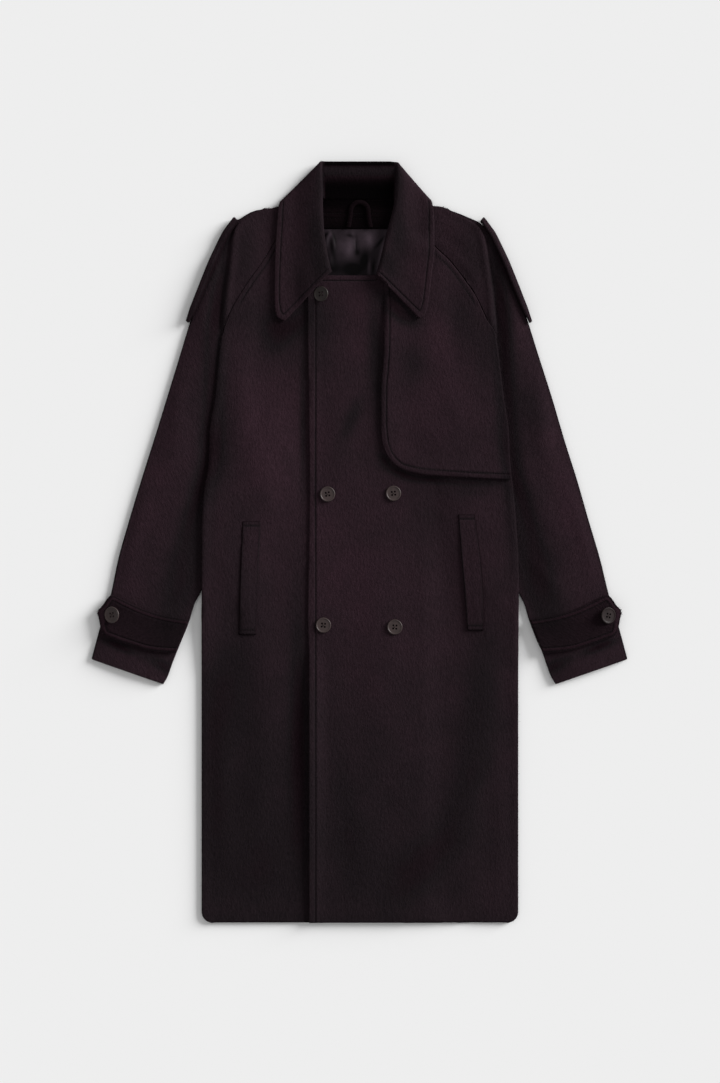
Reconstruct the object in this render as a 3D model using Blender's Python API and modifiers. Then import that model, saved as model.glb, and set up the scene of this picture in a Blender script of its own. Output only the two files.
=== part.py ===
"""A double-breasted wool coat with raglan sleeves, laid flat on its back, front up.

The coat lies on the XY plane with +Z up, +Y towards the collar and its centre over the origin.
West is the side at -X, the wearer's right; east is the side at +X, the wearer's left.
Sizes in the tables and the named values are millimetres; meshes are made in metres.
Every sheet of cloth is settled on those already laid, so its wall follows the steps below it.
"""
import math

import bmesh
import bpy
import numpy as np

MM = 0.001

# Cloth and trim
CLOTH = 3.0
COLLAR_WALL = 4.0
FACING_WALL = 2.4
LINING_WALL = 1.0
STRAP_WALL = 3.4
LOOP_WALL = 1.8
SEAM = 0.7
LIFT = 0.5
SLEEVE_LOFT = 3.2
ROLL = 3.8
BUTTON_SEAT = 0.3
FRONT_BUTTON = 26.0
CUFF_BUTTON = 28.0
BUTTON_WALL = 3.6
HOLE = 2.2
HOLE_PITCH = 5.2

# The lattice that the sheets are settled on
CELL = 5.0
REACH_X = 480.0
REACH_Y = 670.0
SLOPE = 0.16
FAR = 1000.0

# Edges that several pieces share
HEM = -646.0
FRONT_CORNER = 347.0
UNDERLAP_EDGE = 87.5
UNDERARM = 122.0
BACK_NECK = 566.0
STAND_END = 581.0

# Where the shoulder is raised to the fronts' level: rows of the sleeve, and ramps along and across it
SHOULDER_ROWS = 12
SHOULDER_RAMP = (353.0, 376.0)
NECK_RAMP = (535.0, 560.0)
FOLD_OVERHANG = 3.5
FOLD_SUPPORT = 6.1
FOLD_DEPTH = (12.0, 34.0)
FOLD_START = (FRONT_CORNER - 20.0, FRONT_CORNER)
FOLD_END = (500.0, 548.0)
LOFT_END = (490.0, 540.0)
SLEEVE_CLEAR = 4.0
SLEEVE_FREE = -85.0

# The collar's roll: its bend in plan, its bow above the stand and how far the leaf starts to rise
ROLL_BEND = ROLL + 1.2
ROLL_BOW = 2 * ROLL + 1.0
STAND_HEIGHT = 2 * ROLL + COLLAR_WALL / 2 + 1.4
LEAF_RISE = 0.35
COLLAR_SLOPE = 0.10

FLAP_INSET = 1.2
FLAP_SEAM_TOP = 508.0
STRAP_CROWN = 0.4

WOOL = (0.020, 0.013, 0.016)
SATIN = (0.035, 0.027, 0.032)
HORN = (0.060, 0.045, 0.042)


class Table:
    """Rows of sizes under named columns; every column is a smooth curve of the first one."""

    def __init__(self, columns, *rows):
        self.columns = columns.split()
        self.rows = np.array(sorted(rows), dtype=float)

    def curve(self, name, at):
        return monotone(self.rows[:, 0], self.rows[:, self.columns.index(name)], at)


def monotone(x, y, at):
    """A piecewise cubic through the points (x, y) that never swings past them."""
    step = np.diff(x)
    slope = np.diff(y) / step
    before, after = slope[:-1], slope[1:]
    same_way = before * after > 0
    mean = np.where(same_way, before + after, 1.0)
    tangent = np.concatenate((slope[:1], np.where(same_way, 2 * before * after / mean, 0.0), slope[-1:]))
    at = np.clip(np.asarray(at, dtype=float), x[0], x[-1])
    i = np.clip(np.searchsorted(x, at) - 1, 0, len(step) - 1)
    t = (at - x[i]) / step[i]
    rise = y[i] * (1 + 2 * t) * (1 - t) ** 2 + y[i + 1] * t ** 2 * (3 - 2 * t)
    return rise + step[i] * (tangent[i] * t * (1 - t) ** 2 - tangent[i + 1] * t ** 2 * (1 - t))


def smooth(low, high, value):
    """0 at or below low, 1 at or above high, with soft ends."""
    t = np.clip((np.asarray(value, dtype=float) - low) / (high - low), 0.0, 1.0)
    return t * t * (3 - 2 * t)


# The arm's outer edge, from the neck along the shoulder and down to the cuff
ARM_EDGE = Table(
    "y west east",
    (563, -160, 148), (556, -182, 169), (548, -200.5, 188.5), (540.5, -216, 205),
    (528, -223.5, 219), (513, -232, 229), (479, -248, 244.5), (445, -262.5, 260),
    (411, -275, 273), (377, -286.5, 285), (326, -302, 301), (241, -328, 328),
    (173, -349, 348), (105, -370.5, 369.5), (37, -391, 389), (-31, -410, 409),
    (-92, -423, 424), (-133, -437, 437), (-199, -455, 455),
)

# The raglan seam down to the underarm, then the sleeve's inner edge down to the cuff
ARM_SEAM = Table(
    "y west east",
    (563, -131, 112), (540, -127, 108), (508, -144.5, 123), (476, -164.5, 154.5),
    (444, -187, 179), (416, -205, 198), (399, -214.5, 206), (377, -224.5, 216.5),
    (355, -230.5, 229.5), (300, -229, 229), (250, -223, 223), (200, -213, 213),
    (160, -203.5, 203.5), (122, -194, 194), (60, -216.6, 216.6), (-85, -269.5, 269.5),
    (-105, -280, 279.5), (-133, -288.5, 288), (-167, -302, 301), (-189, -311, 311),
    (-207, -318, 317), (-228, -325.5, 325), (-241.5, -333, 333),
)

# Heights of the sleeves' rows: level ones, then slanting ones towards the cuff, outer and inner end
SLEEVE_LEVELS = (563, 556, 547, 534, 514, 492, 466, 440, 415, 393, 377, 364, 352, 338, 308, 270, 230, 190,
                 152, 122, 90, 50, 5, -40, -80)
SLEEVE_SLANTS = ((-112, -120), (-140, -160), (-172, -203), (-190, -230), (-199, -241.5))
UNDER_LEVELS = (90, 40, -20, -80)
UNDER_SLANTS = ((-112, -120), (-150, -172), (-180, -215), (-199, -241.5))

# The fold where the shoulder turns under and the sleeve comes out; lower down, the sleeve's middle
ARM_FOLD = Table(
    "y west east",
    (563, -152, 140), (556, -172, 159), (548, -190, 178), (540.5, -203, 193),
    (528, -210.5, 205), (513, -214, 210), (488, -216.5, 213.5), (445, -222, 219.5),
    (418, -226, 223), (384, -230.5, 227.5), (347, -234, 232), (321, -237.5, 235.5),
    (250, -244.5, 244), (187, -254.5, 254), (139, -256, 255), (60, -271, 271),
    (-85, -300, 300), (-241.5, -365, 365),
)

# The seams between the back and the back of the sleeves, and the back's own edge below the arm
BACK_EDGE = Table(
    "y west east",
    (566, -141.5, 127.5), (530, -141.5, 127.5), (508, -146, 130), (476, -165, 155),
    (444, -187, 179), (416, -205, 198), (399, -214.5, 206), (377, -224.5, 216.5),
    (355, -230.5, 229.5), (300, -229, 229), (250, -223, 223), (200, -213, 213),
    (160, -203.5, 203.5), (122, -194, 194), (104, -206, 206), (84, -232, 232),
    (64, -256, 256), (40, -265, 264), (0, -267, 267), (-85, -267.5, 269.5),
    (-628, -268, 269.5), (-640, -265, 266.5), (-646, -257, 258.5),
)

BACK_SEAM_ROWS = (553.5, 530, 508, 476, 444, 410, 370, 320, 260, 200, 160, UNDERARM)
BACK_LOWER_ROWS = (104, 84, 64, 40, 0, -45, -85, -130, -180, -300, -430, -560, -622, -636, HEM)

# The front's side edge: the armhole fold, the side seam and the rounded hem corner
BODY_EDGE = Table(
    "y west east",
    (347, -233.5, 231.5), (321, -237.5, 235.5), (250, -244.5, 244), (187, -254.5, 253),
    (139, -256, 255), (116, -258, 257), (83, -264, 261), (25, -267, 266),
    (-31, -267.3, 269), (-85, -267.5, 270), (-200, -268, 269.5), (-628, -268, 269.5),
    (-640, -265, 266.5), (-646, -257, 258.5),
)

# The edge of the over-lap, down the middle of the chest and skirt
LAP_EDGE = Table("y x", (347, -88), (88, -85), (-133, -88), (-200, -86), (-646, -86))

# The top edges of the two fronts beyond the raglan seam: the neck seam and the lap's own top
OVERLAP_NECK = ((-88, 452), (-62, 452), (-30, 452), (5, 452), (28, 453), (45, 472), (66, 502), (88, 528))
UNDERLAP_NECK = ((-108, 524), (-88, 490), (-66, 455), (-50, 440), (-10, 440), (40, 440), (87.5, 440))

# The collar by stations from the west tip round the neck to the east tip:
# the leaf's edge, the roll line, the end of the stand, and 1 where the leaf is on top
COLLAR = (
    dict(edge=(-127, 374), roll=(-48.5, 457), neck=(-64, 466), over=1.0),
    dict(edge=(-140, 382), roll=(-52, 470), neck=(-68, 478), over=1.0),
    dict(edge=(-144, 404), roll=(-55.5, 486), neck=(-72, 492), over=1.0),
    dict(edge=(-144.5, 440), roll=(-59, 506), neck=(-76, 510), over=1.0),
    dict(edge=(-143.5, 488), roll=(-62.5, 537), neck=(-79, 540), over=1.0),
    dict(edge=(-141, 532), roll=(-64, 575), neck=(-80, 574), over=1.0),
    dict(edge=(-139, 556), roll=(-64.5, 612), neck=(-77, 600), over=1.0),
    dict(edge=(-137, 570), roll=(-65, 636), neck=(-70, 596), over=0.86),
    dict(edge=(-133, 576), roll=(-64.6, 644), neck=(-63, 583), over=0.50),
    dict(edge=(-125, 574), roll=(-58, 644), neck=(-57, STAND_END), over=0.12),
    dict(edge=(-116, 560), roll=(-50, 644), neck=(-50, STAND_END), over=0.0),
    dict(edge=(-62, 555.5), roll=(-28, 644), neck=(-28, STAND_END), over=0.0),
    dict(edge=(-3, 554.5), roll=(0, 644), neck=(0, STAND_END), over=0.0),
    dict(edge=(56, 555.5), roll=(28, 644), neck=(28, STAND_END), over=0.0),
    dict(edge=(104, 561), roll=(50, 644), neck=(50, STAND_END), over=0.0),
    dict(edge=(112, 575), roll=(58, 643), neck=(57, STAND_END), over=0.12),
    dict(edge=(120, 578), roll=(64, 642), neck=(62, 583), over=0.50),
    dict(edge=(124, 571), roll=(64.5, 634), neck=(69, 596), over=0.86),
    dict(edge=(126, 556), roll=(63, 610), neck=(76, 600), over=1.0),
    dict(edge=(127, 532), roll=(60.5, 575), neck=(77, 574), over=1.0),
    dict(edge=(127, 494), roll=(53, 543), neck=(69, 546), over=1.0),
    dict(edge=(122.5, 454), roll=(44.5, 511), neck=(60, 517), over=1.0),
    dict(edge=(118.5, 420), roll=(38.5, 484), neck=(54, 492), over=1.0),
    dict(edge=(112.5, 389), roll=(33, 463), neck=(48, 472), over=1.0),
    dict(edge=(102, 377), roll=(29.5, 451), neck=(44, 461), over=1.0),
)

# The storm flap: its top under the collar, its upright edge and its lower edge to the armhole
FLAP_TOP = ((42, 444), (44, 447), (47, 451), (53, 459), (62, 470), (75, 488), (90, 506))
FLAP_SIDE = Table("y x", (196, 36.5), (260, 36.6), (295.8, 39.6), (343.4, 42), (444, 42))
FLAP_LOWER = Table(
    "x y",
    (36.5, 196), (38.5, 172), (44, 154), (51.5, 140.5), (63, 129), (77.4, 121.4), (113, 114),
    (184.5, 109.3), (257, 105.5),
)
FLAP_ROWS = (0.0, 0.08, 0.19, 0.31, 0.44, 0.58, 0.73, 0.88, 1.0)

# Shares of the way down a front and across the back, closer where the cloth steps over a sleeve
FRONT_ROWS = (0.0, 0.025, 0.055, 0.09, 0.125, 0.16, 0.20, 0.24, 0.28, 0.32, 0.36, 0.40, 0.44, 0.48, 0.53,
              0.58, 0.64, 0.72, 0.81, 0.90, 0.96, 0.986, 0.995, 1.0)
BACK_COLUMNS = (0.0, 0.05, 0.11, 0.18, 0.27, 0.38, 0.5, 0.62, 0.73, 0.82, 0.89, 0.95, 1.0)

# Straps on edge over the sleeves' top fold: outer and inner rim, from the shoulder to the point
EPAULETTE = Table(
    "step x y inner_x inner_y",
    (0, 213.5, 547, 207, 539), (1, 229, 528, 221.5, 519), (2, 242, 503, 232.5, 496),
    (3, 253.5, 478, 244, 470), (4, 266.5, 446, 257, 438), (5, 277.5, 418, 268.5, 410),
    (6, 286, 396, 278.5, 389), (7, 291, 381, 288, 378),
)

WEST_SPREAD = 2.2

# Pointed straps across the cuffs, from the inner edge of the sleeve to the point
CUFF_STRAP = Table(
    "step top_x top_y low_x low_y",
    (0, 289, -131.5, 311.5, -188.5), (1, 313, -128, 334, -187.5), (2, 338.3, -122.7, 360, -184),
    (3, 366.4, -113.6, 388, -175.5), (4, 394.4, -101, 414, -166.5), (5, 419.4, -90, 435.5, -156),
    (6, 436, -108, 441.5, -132), (7, 442.5, -115, 444, -121),
)

# Upright pocket welts: their two long edges
WELTS = {
    "right": Table("y outer inner", (35.7, -198.7, -167.1), (-46, -202, -171), (-157.3, -205, -174.6)),
    "left": Table("y outer inner", (47.3, 196, 166.8), (-46, 208, 174.3), (-90, 211, 178.5),
                  (-150, 211, 182.6)),
}

# The strip inside the back neck and the top of the lining: the ends of each row
FACING = Table("y west east", (532, -72, 58), (550, -72, 60), (580, -60, 58))
LINING = Table("y west east", (437, -55, 40), (475, -62, 47), (505, -69, 54), (531, -73, 58))

# The hanger loop: half its width and where its legs and its bow end, along the strap's middle
LOOP_HALF = 16.5
LOOP_FOOT = 533.5
LOOP_BEND = 560.0
LOOP_WIDTH = 8.5
LOOP_SIDES = 10

BUTTONS = {
    "button_top": (-64.6, 420.2, FRONT_BUTTON),
    "button_middle_right": (-54.2, 81.2, FRONT_BUTTON),
    "button_middle_left": (57.6, 82.5, FRONT_BUTTON),
    "button_lower_right": (-61.2, -141.0, FRONT_BUTTON),
    "button_lower_left": (59.8, -144.0, FRONT_BUTTON),
    "cuff_button_right": (-418.5, -123.3, CUFF_BUTTON),
    "cuff_button_left": (420.5, -124.4, CUFF_BUTTON),
}

# A button's turned outline from its middle over the rim to its flat back: radius and height as shares
BUTTON_OUTLINE = ((0.0, 0.58), (0.62, 0.58), (0.74, 1.0), (0.90, 0.94), (1.0, 0.5), (0.88, 0.0), (0.0, 0.0))
BUTTON_STEPS = 18


def dense(grid):
    """A grid of points with enough more between them to touch every cell that it covers."""
    for axis in (0, 1):
        grid = np.moveaxis(np.asarray(grid, dtype=float), axis, 0)
        span = np.abs(np.diff(grid, axis=0)).max() if len(grid) > 1 else 0.0
        parts = int(math.ceil(span / (0.45 * CELL))) + 1
        between = [grid[:-1] + (grid[1:] - grid[:-1]) * k / parts for k in range(parts)]
        woven = np.stack(between, axis=1).reshape((-1,) + grid.shape[1:])
        grid = np.moveaxis(np.concatenate((woven, grid[-1:])), 0, axis)
    return grid


def around(field, combine, start):
    """Combine every cell of a field with its eight neighbours."""
    padded = np.pad(field, 1, mode="edge")
    width, height = field.shape
    for dx in range(3):
        for dy in range(3):
            start = combine(start, padded[dx:dx + width, dy:dy + height], (dx - 1, dy - 1))
    return start


def widest(field, fall=0.0):
    """The highest of each cell and its neighbours, less a fall with distance."""
    return around(field, lambda a, b, step: np.maximum(a, b - fall * CELL * math.hypot(*step)), field)


def average(field):
    return around(field, lambda a, b, step: a + b / 9.0, np.zeros_like(field))


class Bed:
    """How high the cloth laid so far stands, on a lattice of square cells."""

    def __init__(self):
        self.top = np.full((int(2 * REACH_X / CELL), int(2 * REACH_Y / CELL)), -LIFT)

    def cells(self, grid):
        points = dense(grid)
        column = ((points[..., 0] + REACH_X) / CELL).astype(int)
        row = ((points[..., 1] + REACH_Y) / CELL).astype(int)
        return points, column, row

    def add(self, grid, wall):
        """Lay a sheet whose underside has the points of the grid."""
        points, column, row = self.cells(grid)
        np.maximum.at(self.top, (column, row), points[..., 2] + wall)

    def settled(self, *plans, support=None, slope=SLOPE, spare=1, narrow=False):
        """The underside of cloth laid over the given outlines, bridging the steps below it."""
        under = np.zeros(self.top.shape)
        for plan in plans:
            _, column, row = self.cells(plan)
            under[column, row] = 1.0
        inner = under > 0.5 if narrow else -widest(-under) > 0.5
        height = np.where(inner, self.top, -FAR)
        if support is not None:
            height = np.where(inner, np.maximum(height, support), -FAR)
        for _ in range(4):
            height = np.where(height > -1.0, height, widest(height))
        for _ in range(2 + spare):
            height = widest(height)
        for _ in range(12):
            height = np.where(height > -1.0, widest(height, slope), height)
        height = np.where(height > -1.0, height, -LIFT)
        for _ in range(2):
            height = average(height)
        return height

    def highest(self, x, y, radius):
        """The highest cloth within a radius of a point."""
        _, column, row = self.cells(np.array([[[x - radius, y - radius], [x + radius, y - radius]],
                                              [[x - radius, y + radius], [x + radius, y + radius]]]))
        return self.top[column, row].max()


def sample(field, x, y):
    """Read a lattice field between its cells' centres."""
    u = (np.asarray(x) + REACH_X) / CELL - 0.5
    v = (np.asarray(y) + REACH_Y) / CELL - 0.5
    i, j = np.floor(u).astype(int), np.floor(v).astype(int)
    s, t = u - i, v - j
    low = field[i, j] * (1 - s) + field[i + 1, j] * s
    high = field[i, j + 1] * (1 - s) + field[i + 1, j + 1] * s
    return low * (1 - t) + high * t


def lay(bed, plan, wall, field=None, spare=1, narrow=False):
    """Settle a sheet on the bed and return its underside."""
    if field is None:
        field = bed.settled(plan, spare=spare, narrow=narrow)
    z = sample(field, plan[..., 0], plan[..., 1]) + LIFT
    grid = np.dstack((plan, z))
    bed.add(grid, wall)
    return grid


def new_collection(name):
    collection = bpy.data.collections.new(name)
    bpy.context.scene.collection.children.link(collection)
    return collection


def material(name, colour, roughness):
    made = bpy.data.materials.new(name)
    made.use_nodes = True
    shader = made.node_tree.nodes["Principled BSDF"]
    shader.inputs["Base Color"].default_value = (*colour, 1.0)
    shader.inputs["Roughness"].default_value = roughness
    shader.inputs["Metallic"].default_value = 0.0
    return made


def link(name, mesh, collection, colour, roughness):
    thing = bpy.data.objects.new(name, mesh)
    mesh.materials.append(material(name, colour, roughness))
    collection.objects.link(thing)
    return thing


def sheet(name, grid, wall, collection, colour=WOOL, roughness=0.95, offset=1.0):
    """A wall of cloth on a grid of points, thickened to its upper side."""
    rows, columns = grid.shape[:2]
    across = np.diff(grid, axis=1)[:-1]
    down = np.diff(grid, axis=0)[:, :-1]
    if (across[..., 0] * down[..., 1] - across[..., 1] * down[..., 0]).sum() > 0:
        grid = grid[:, ::-1]
    points = [tuple(point * MM) for point in grid.reshape(-1, 3)]
    corner = [row * columns + column for row in range(rows - 1) for column in range(columns - 1)]
    faces = [(k, k + columns, k + columns + 1, k + 1) for k in corner]
    mesh = bpy.data.meshes.new(name)
    mesh.from_pydata(points, [], faces)
    mesh.shade_smooth()
    thing = link(name, mesh, collection, colour, roughness)
    wall_modifier = thing.modifiers.new("wall", "SOLIDIFY")
    wall_modifier.thickness = wall * MM
    wall_modifier.offset = offset
    return thing


def between(start, end, count):
    return np.linspace(start, end, count)


def sleeve_rows():
    """Heights of the sleeve's rows at its outer and inner edge; they slant towards the cuff."""
    return [(y, y) for y in SLEEVE_LEVELS] + list(SLEEVE_SLANTS)


def sleeve_plan(side, rows):
    """The front half of a sleeve in plan: three spans to the armhole fold, then five to the edge."""
    plan = []
    for y_out, y_in in rows:
        seam = ARM_SEAM.curve(side, y_in)
        edge = ARM_EDGE.curve(side, y_out)
        fold = ARM_FOLD.curve(side, 0.5 * (y_out + y_in))
        outward = np.sign(edge)
        seam += outward * SEAM * (y_in > UNDERARM)
        inner = between(seam, fold, 4)
        outer = between(fold + outward * FOLD_OVERHANG, edge, 6)
        x = np.concatenate((inner, outer))
        y = y_in + (y_out - y_in) * (x - seam) / (edge - seam)
        plan.append(np.stack((x, y), axis=-1))
    return np.array(plan)


def under_sleeve_plan(side):
    """The back half of a sleeve in plan, up to the seam with the back."""
    plan = []
    levels = [(y, y) for y in (BACK_NECK,) + BACK_SEAM_ROWS + UNDER_LEVELS]
    for y_out, y_in in levels + list(UNDER_SLANTS):
        start = BACK_EDGE if y_in >= UNDERARM else ARM_SEAM
        seam = start.curve(side, y_in)
        edge = ARM_EDGE.curve(side, y_out)
        seam += np.sign(edge) * SEAM
        x = between(seam, edge, 5)
        y = y_in + (y_out - y_in) * (x - seam) / (edge - seam)
        plan.append(np.stack((x, y), axis=-1))
    return np.array(plan)


def lower_sleeve(bed, side, plan):
    """The sleeve as it lies on its back half, with some loft along its middle."""
    field = bed.settled(plan)
    x, y = plan[..., 0], plan[..., 1]
    inner = np.maximum(np.abs(ARM_SEAM.curve(side, y)), np.abs(BODY_EDGE.curve(side, y)) * (y > SLEEVE_FREE))
    outer = np.abs(ARM_EDGE.curve(side, y))
    share = np.clip((np.abs(x) - inner - SLEEVE_CLEAR) / (outer - inner - SLEEVE_CLEAR), 0.0, 1.0)
    loft = SLEEVE_LOFT * np.sin(math.pi * share) ** 0.8 * (1.0 - smooth(*LOFT_END, y))
    return np.dstack((plan, sample(field, x, y) + LIFT + loft))


def raglan_points(side):
    """Points of the raglan seam, one for each row of the sleeve that meets it."""
    heights = [y for y, _ in sleeve_rows() if FRONT_CORNER < y < 540]
    return [(float(ARM_SEAM.curve(side, y)), y) for y in heights]


def front_plan(top, west, east):
    """A front in plan: its columns start along its top line and its rows run down to the hem."""
    plan = []
    for fall in FRONT_ROWS:
        line = []
        for x_top, y_top in top:
            share = (x_top - top[0][0]) / (top[-1][0] - top[0][0])
            y = y_top + (HEM - y_top) * fall
            left, right = west(y), east(y)
            line.append((left + (right - left) * share, y))
        plan.append(line)
    return np.array(plan)


def overlap_plan():
    corner = (float(BODY_EDGE.curve("east", FRONT_CORNER)), FRONT_CORNER)
    top = list(OVERLAP_NECK) + raglan_points("east") + [corner]
    return front_plan(top, lambda y: float(LAP_EDGE.curve("x", y)),
                      lambda y: float(BODY_EDGE.curve("east", min(y, FRONT_CORNER))))


def underlap_plan():
    corner = (float(BODY_EDGE.curve("west", FRONT_CORNER)), FRONT_CORNER)
    top = [corner] + raglan_points("west")[::-1] + list(UNDERLAP_NECK)
    return front_plan(top, lambda y: float(BODY_EDGE.curve("west", min(y, FRONT_CORNER))),
                      lambda y: UNDERLAP_EDGE)


def back_plan():
    plan = []
    for y in BACK_SEAM_ROWS + BACK_LOWER_ROWS:
        west = float(BACK_EDGE.curve("west", y))
        east = float(BACK_EDGE.curve("east", y))
        x = west + (east - west) * np.array(BACK_COLUMNS)
        plan.append(np.stack((x, np.full_like(x, y)), axis=-1))
    return np.array(plan)


def fold_support(shape):
    """What the turned-in cloth along the armhole fold carries: a low ridge inside the fold."""
    column, row = np.indices(shape)
    x = (column + 0.5) * CELL - REACH_X
    y = (row + 0.5) * CELL - REACH_Y
    ridge = np.zeros(shape)
    for side in ("west", "east"):
        fold = ARM_FOLD.curve(side, y)
        depth = np.sign(fold) * (fold - x)
        share = 1.0 - smooth(*FOLD_DEPTH, depth)
        share = share * smooth(*FOLD_START, y) * (1.0 - smooth(*FOLD_END, y))
        ridge = np.maximum(ridge, FOLD_SUPPORT * share * (np.sign(x) == np.sign(fold)))
    return ridge


def raise_shoulder(grid, upper, side):
    """Lift the part of a sleeve that belongs to the shoulder up to the fronts' level."""
    raised = grid.copy()
    x, y = grid[:, :4, 0], grid[:, :4, 1]
    share = smooth(*SHOULDER_RAMP, y)
    raised[:, :4, 2] += (sample(upper, x, y) + LIFT - raised[:, :4, 2]) * share
    rest_x, rest_y = grid[:, 4:, 0], grid[:, 4:, 1]
    corner = smooth(*NECK_RAMP, rest_y)
    raised[:, 4:, 2] += (sample(upper, rest_x, rest_y) + LIFT - raised[:, 4:, 2]) * corner
    return raised


def collar_section(bed_field, station):
    """One section of the collar: along the leaf, round the roll and back along the stand."""
    edge, roll, neck = (np.array(station[key], dtype=float) for key in ("edge", "roll", "neck"))
    over = station["over"]
    half = COLLAR_WALL / 2
    leaf_way = (roll - edge) / np.linalg.norm(roll - edge)
    neck_way = (neck - roll) / np.linalg.norm(neck - roll)
    leaf_end = roll - leaf_way * ROLL_BEND
    neck_start = roll + neck_way * ROLL_BEND
    rest = float(sample(bed_field, *neck)) + LIFT + half
    crest = rest + ROLL_BOW
    points = []
    for share in (0.0, 0.25, 0.5, 0.75, 1.0):
        x, y = edge + (leaf_end - edge) * share
        on_top = float(sample(bed_field, x, y)) + LIFT + half
        on_top += (crest - on_top) * smooth(LEAF_RISE, 1.0, share)
        points.append((x, y, on_top * over + half * (1 - over)))
    z_leaf = points[-1][2]
    z_neck = rest * over + STAND_HEIGHT * (1 - over)
    bow = 2 * roll - 0.5 * (leaf_end + neck_start)
    for share in (0.2, 0.5, 0.8):
        plan = leaf_end * (1 - share) ** 2 + 2 * bow * share * (1 - share) + neck_start * share ** 2
        points.append((*plan, z_leaf + (z_neck - z_leaf) * (1 - math.cos(math.pi * share)) / 2))
    low = COLLAR_WALL + LIFT + half
    for share in (0.0, 0.33, 0.66, 1.0):
        x, y = neck_start + (neck - neck_start) * share
        under = STAND_HEIGHT + (low - STAND_HEIGHT) * smooth(0.0, 0.8, share)
        points.append((x, y, rest * over + under * (1 - over)))
    return points


def collar_grid(bed):
    """Leaf and stand in one, the leaf under the back at the centre and over the fronts at the sides."""
    plan = np.array([[station["edge"], station["roll"], station["neck"]] for station in COLLAR])
    field = bed.settled(plan[:, :2], plan[:, 1:], slope=COLLAR_SLOPE)
    return np.array([collar_section(field, station) for station in COLLAR])


def strip(table, near, far, rows, columns):
    """Rows of points from one edge of a strip to the other, at the given heights."""
    plan = []
    for y in rows:
        x = between(table.curve(near, y), table.curve(far, y), columns)
        plan.append(np.stack((x, np.full_like(x, y)), axis=-1))
    return np.array(plan)


def flap_plan():
    """The flap from the over-lap's own seam points down to its lower edge."""
    seam = [(x - FLAP_INSET, y - FLAP_INSET) for x, y in raglan_points("east") if y < FLAP_SEAM_TOP]
    corner = (float(BODY_EDGE.curve("east", FRONT_CORNER)) - FLAP_INSET, FRONT_CORNER - FLAP_INSET)
    top = list(FLAP_TOP) + seam + [corner]
    plan = []
    for fall in FLAP_ROWS:
        line = []
        for x_top, y_top in top:
            share = (x_top - top[0][0]) / (top[-1][0] - top[0][0])
            x_low = FLAP_LOWER.rows[0, 0] + share * (FLAP_LOWER.rows[-1, 0] - FLAP_LOWER.rows[0, 0])
            y = y_top + (float(FLAP_LOWER.curve("y", x_low)) - y_top) * fall
            left = float(FLAP_SIDE.curve("x", y))
            right = float(BODY_EDGE.curve("east", min(y, FRONT_CORNER))) - FLAP_INSET
            line.append((left + (right - left) * share, y))
        plan.append(line)
    return np.array(plan)


def loop_plan():
    """The hanger loop: two legs and a half-round bow between them."""
    legs = [(-LOOP_HALF, LOOP_FOOT, 1.0, 0.0)]
    bow = []
    for k in range(LOOP_SIDES + 1):
        turn = math.pi * (1 - k / LOOP_SIDES)
        x, y = math.cos(turn), math.sin(turn)
        bow.append((LOOP_HALF * x, LOOP_BEND + LOOP_HALF * y, -x, -y))
    path = legs + bow + [(LOOP_HALF, LOOP_FOOT, -1.0, 0.0)]
    half = LOOP_WIDTH / 2
    return np.array([[(x - u * half, y - v * half), (x + u * half, y + v * half)] for x, y, u, v in path])


def edge_strap(bed, side):
    """A strap bent over the sleeve's top fold: a narrow top and a side that hangs down outside."""
    half = STRAP_WALL / 2
    outward = -1.0 if side == "west" else 1.0
    spread = WEST_SPREAD if side == "west" else 0.0
    grid = []
    for step in EPAULETTE.rows[:, 0]:
        x, y, inner_x, inner_y = (float(EPAULETTE.curve(name, step)) for name in EPAULETTE.columns[1:])
        x += spread
        way = np.array([x - inner_x, y - inner_y])
        way /= np.linalg.norm(way)
        rim = np.array([x, y]) - way * half
        inner = np.array([inner_x, inner_y])
        z = bed.highest(outward * inner_x, inner_y, CELL) + LIFT + half
        shoulder = rim - way * half
        crown = 0.5 * (inner + rim)
        for spot, height in ((inner, z), (crown, z + STRAP_CROWN), (shoulder, z + STRAP_CROWN / 2),
                             (rim, z - half), (rim, half + LIFT)):
            grid.append((outward * spot[0], spot[1], height))
    grid = np.array(grid).reshape(len(EPAULETTE.rows), 5, 3)
    bed.add(grid[:, :4], half)
    return grid


def cuff_plan(side):
    outward = -1.0 if side == "west" else 1.0
    plan = []
    for step in between(0.0, 7.0, 8):
        top = np.array([CUFF_STRAP.curve("top_x", step), CUFF_STRAP.curve("top_y", step)])
        low = np.array([CUFF_STRAP.curve("low_x", step), CUFF_STRAP.curve("low_y", step)])
        plan.append([top + (low - top) * share for share in (0.0, 0.5, 1.0)])
    plan = np.array(plan)
    plan[..., 0] *= outward
    return plan


def hole_cutter(name, spot, cutters):
    """Four small round posts that cut a button's holes."""
    shape = bmesh.new()
    pitch = HOLE_PITCH / 2 * MM
    for x, y in ((-pitch, -pitch), (pitch, -pitch), (-pitch, pitch), (pitch, pitch)):
        made = bmesh.ops.create_cone(shape, cap_ends=True, segments=6, radius1=HOLE / 2 * MM,
                                     radius2=HOLE / 2 * MM, depth=4 * BUTTON_WALL * MM)
        bmesh.ops.translate(shape, verts=made["verts"], vec=(x, y, 0.0))
    mesh = bpy.data.meshes.new(name + "_holes")
    shape.to_mesh(mesh)
    shape.free()
    cutter = bpy.data.objects.new(name + "_holes", mesh)
    cutters.objects.link(cutter)
    cutter.location = spot
    cutter.hide_render = True
    cutter.display_type = "WIRE"
    return cutter


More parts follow.
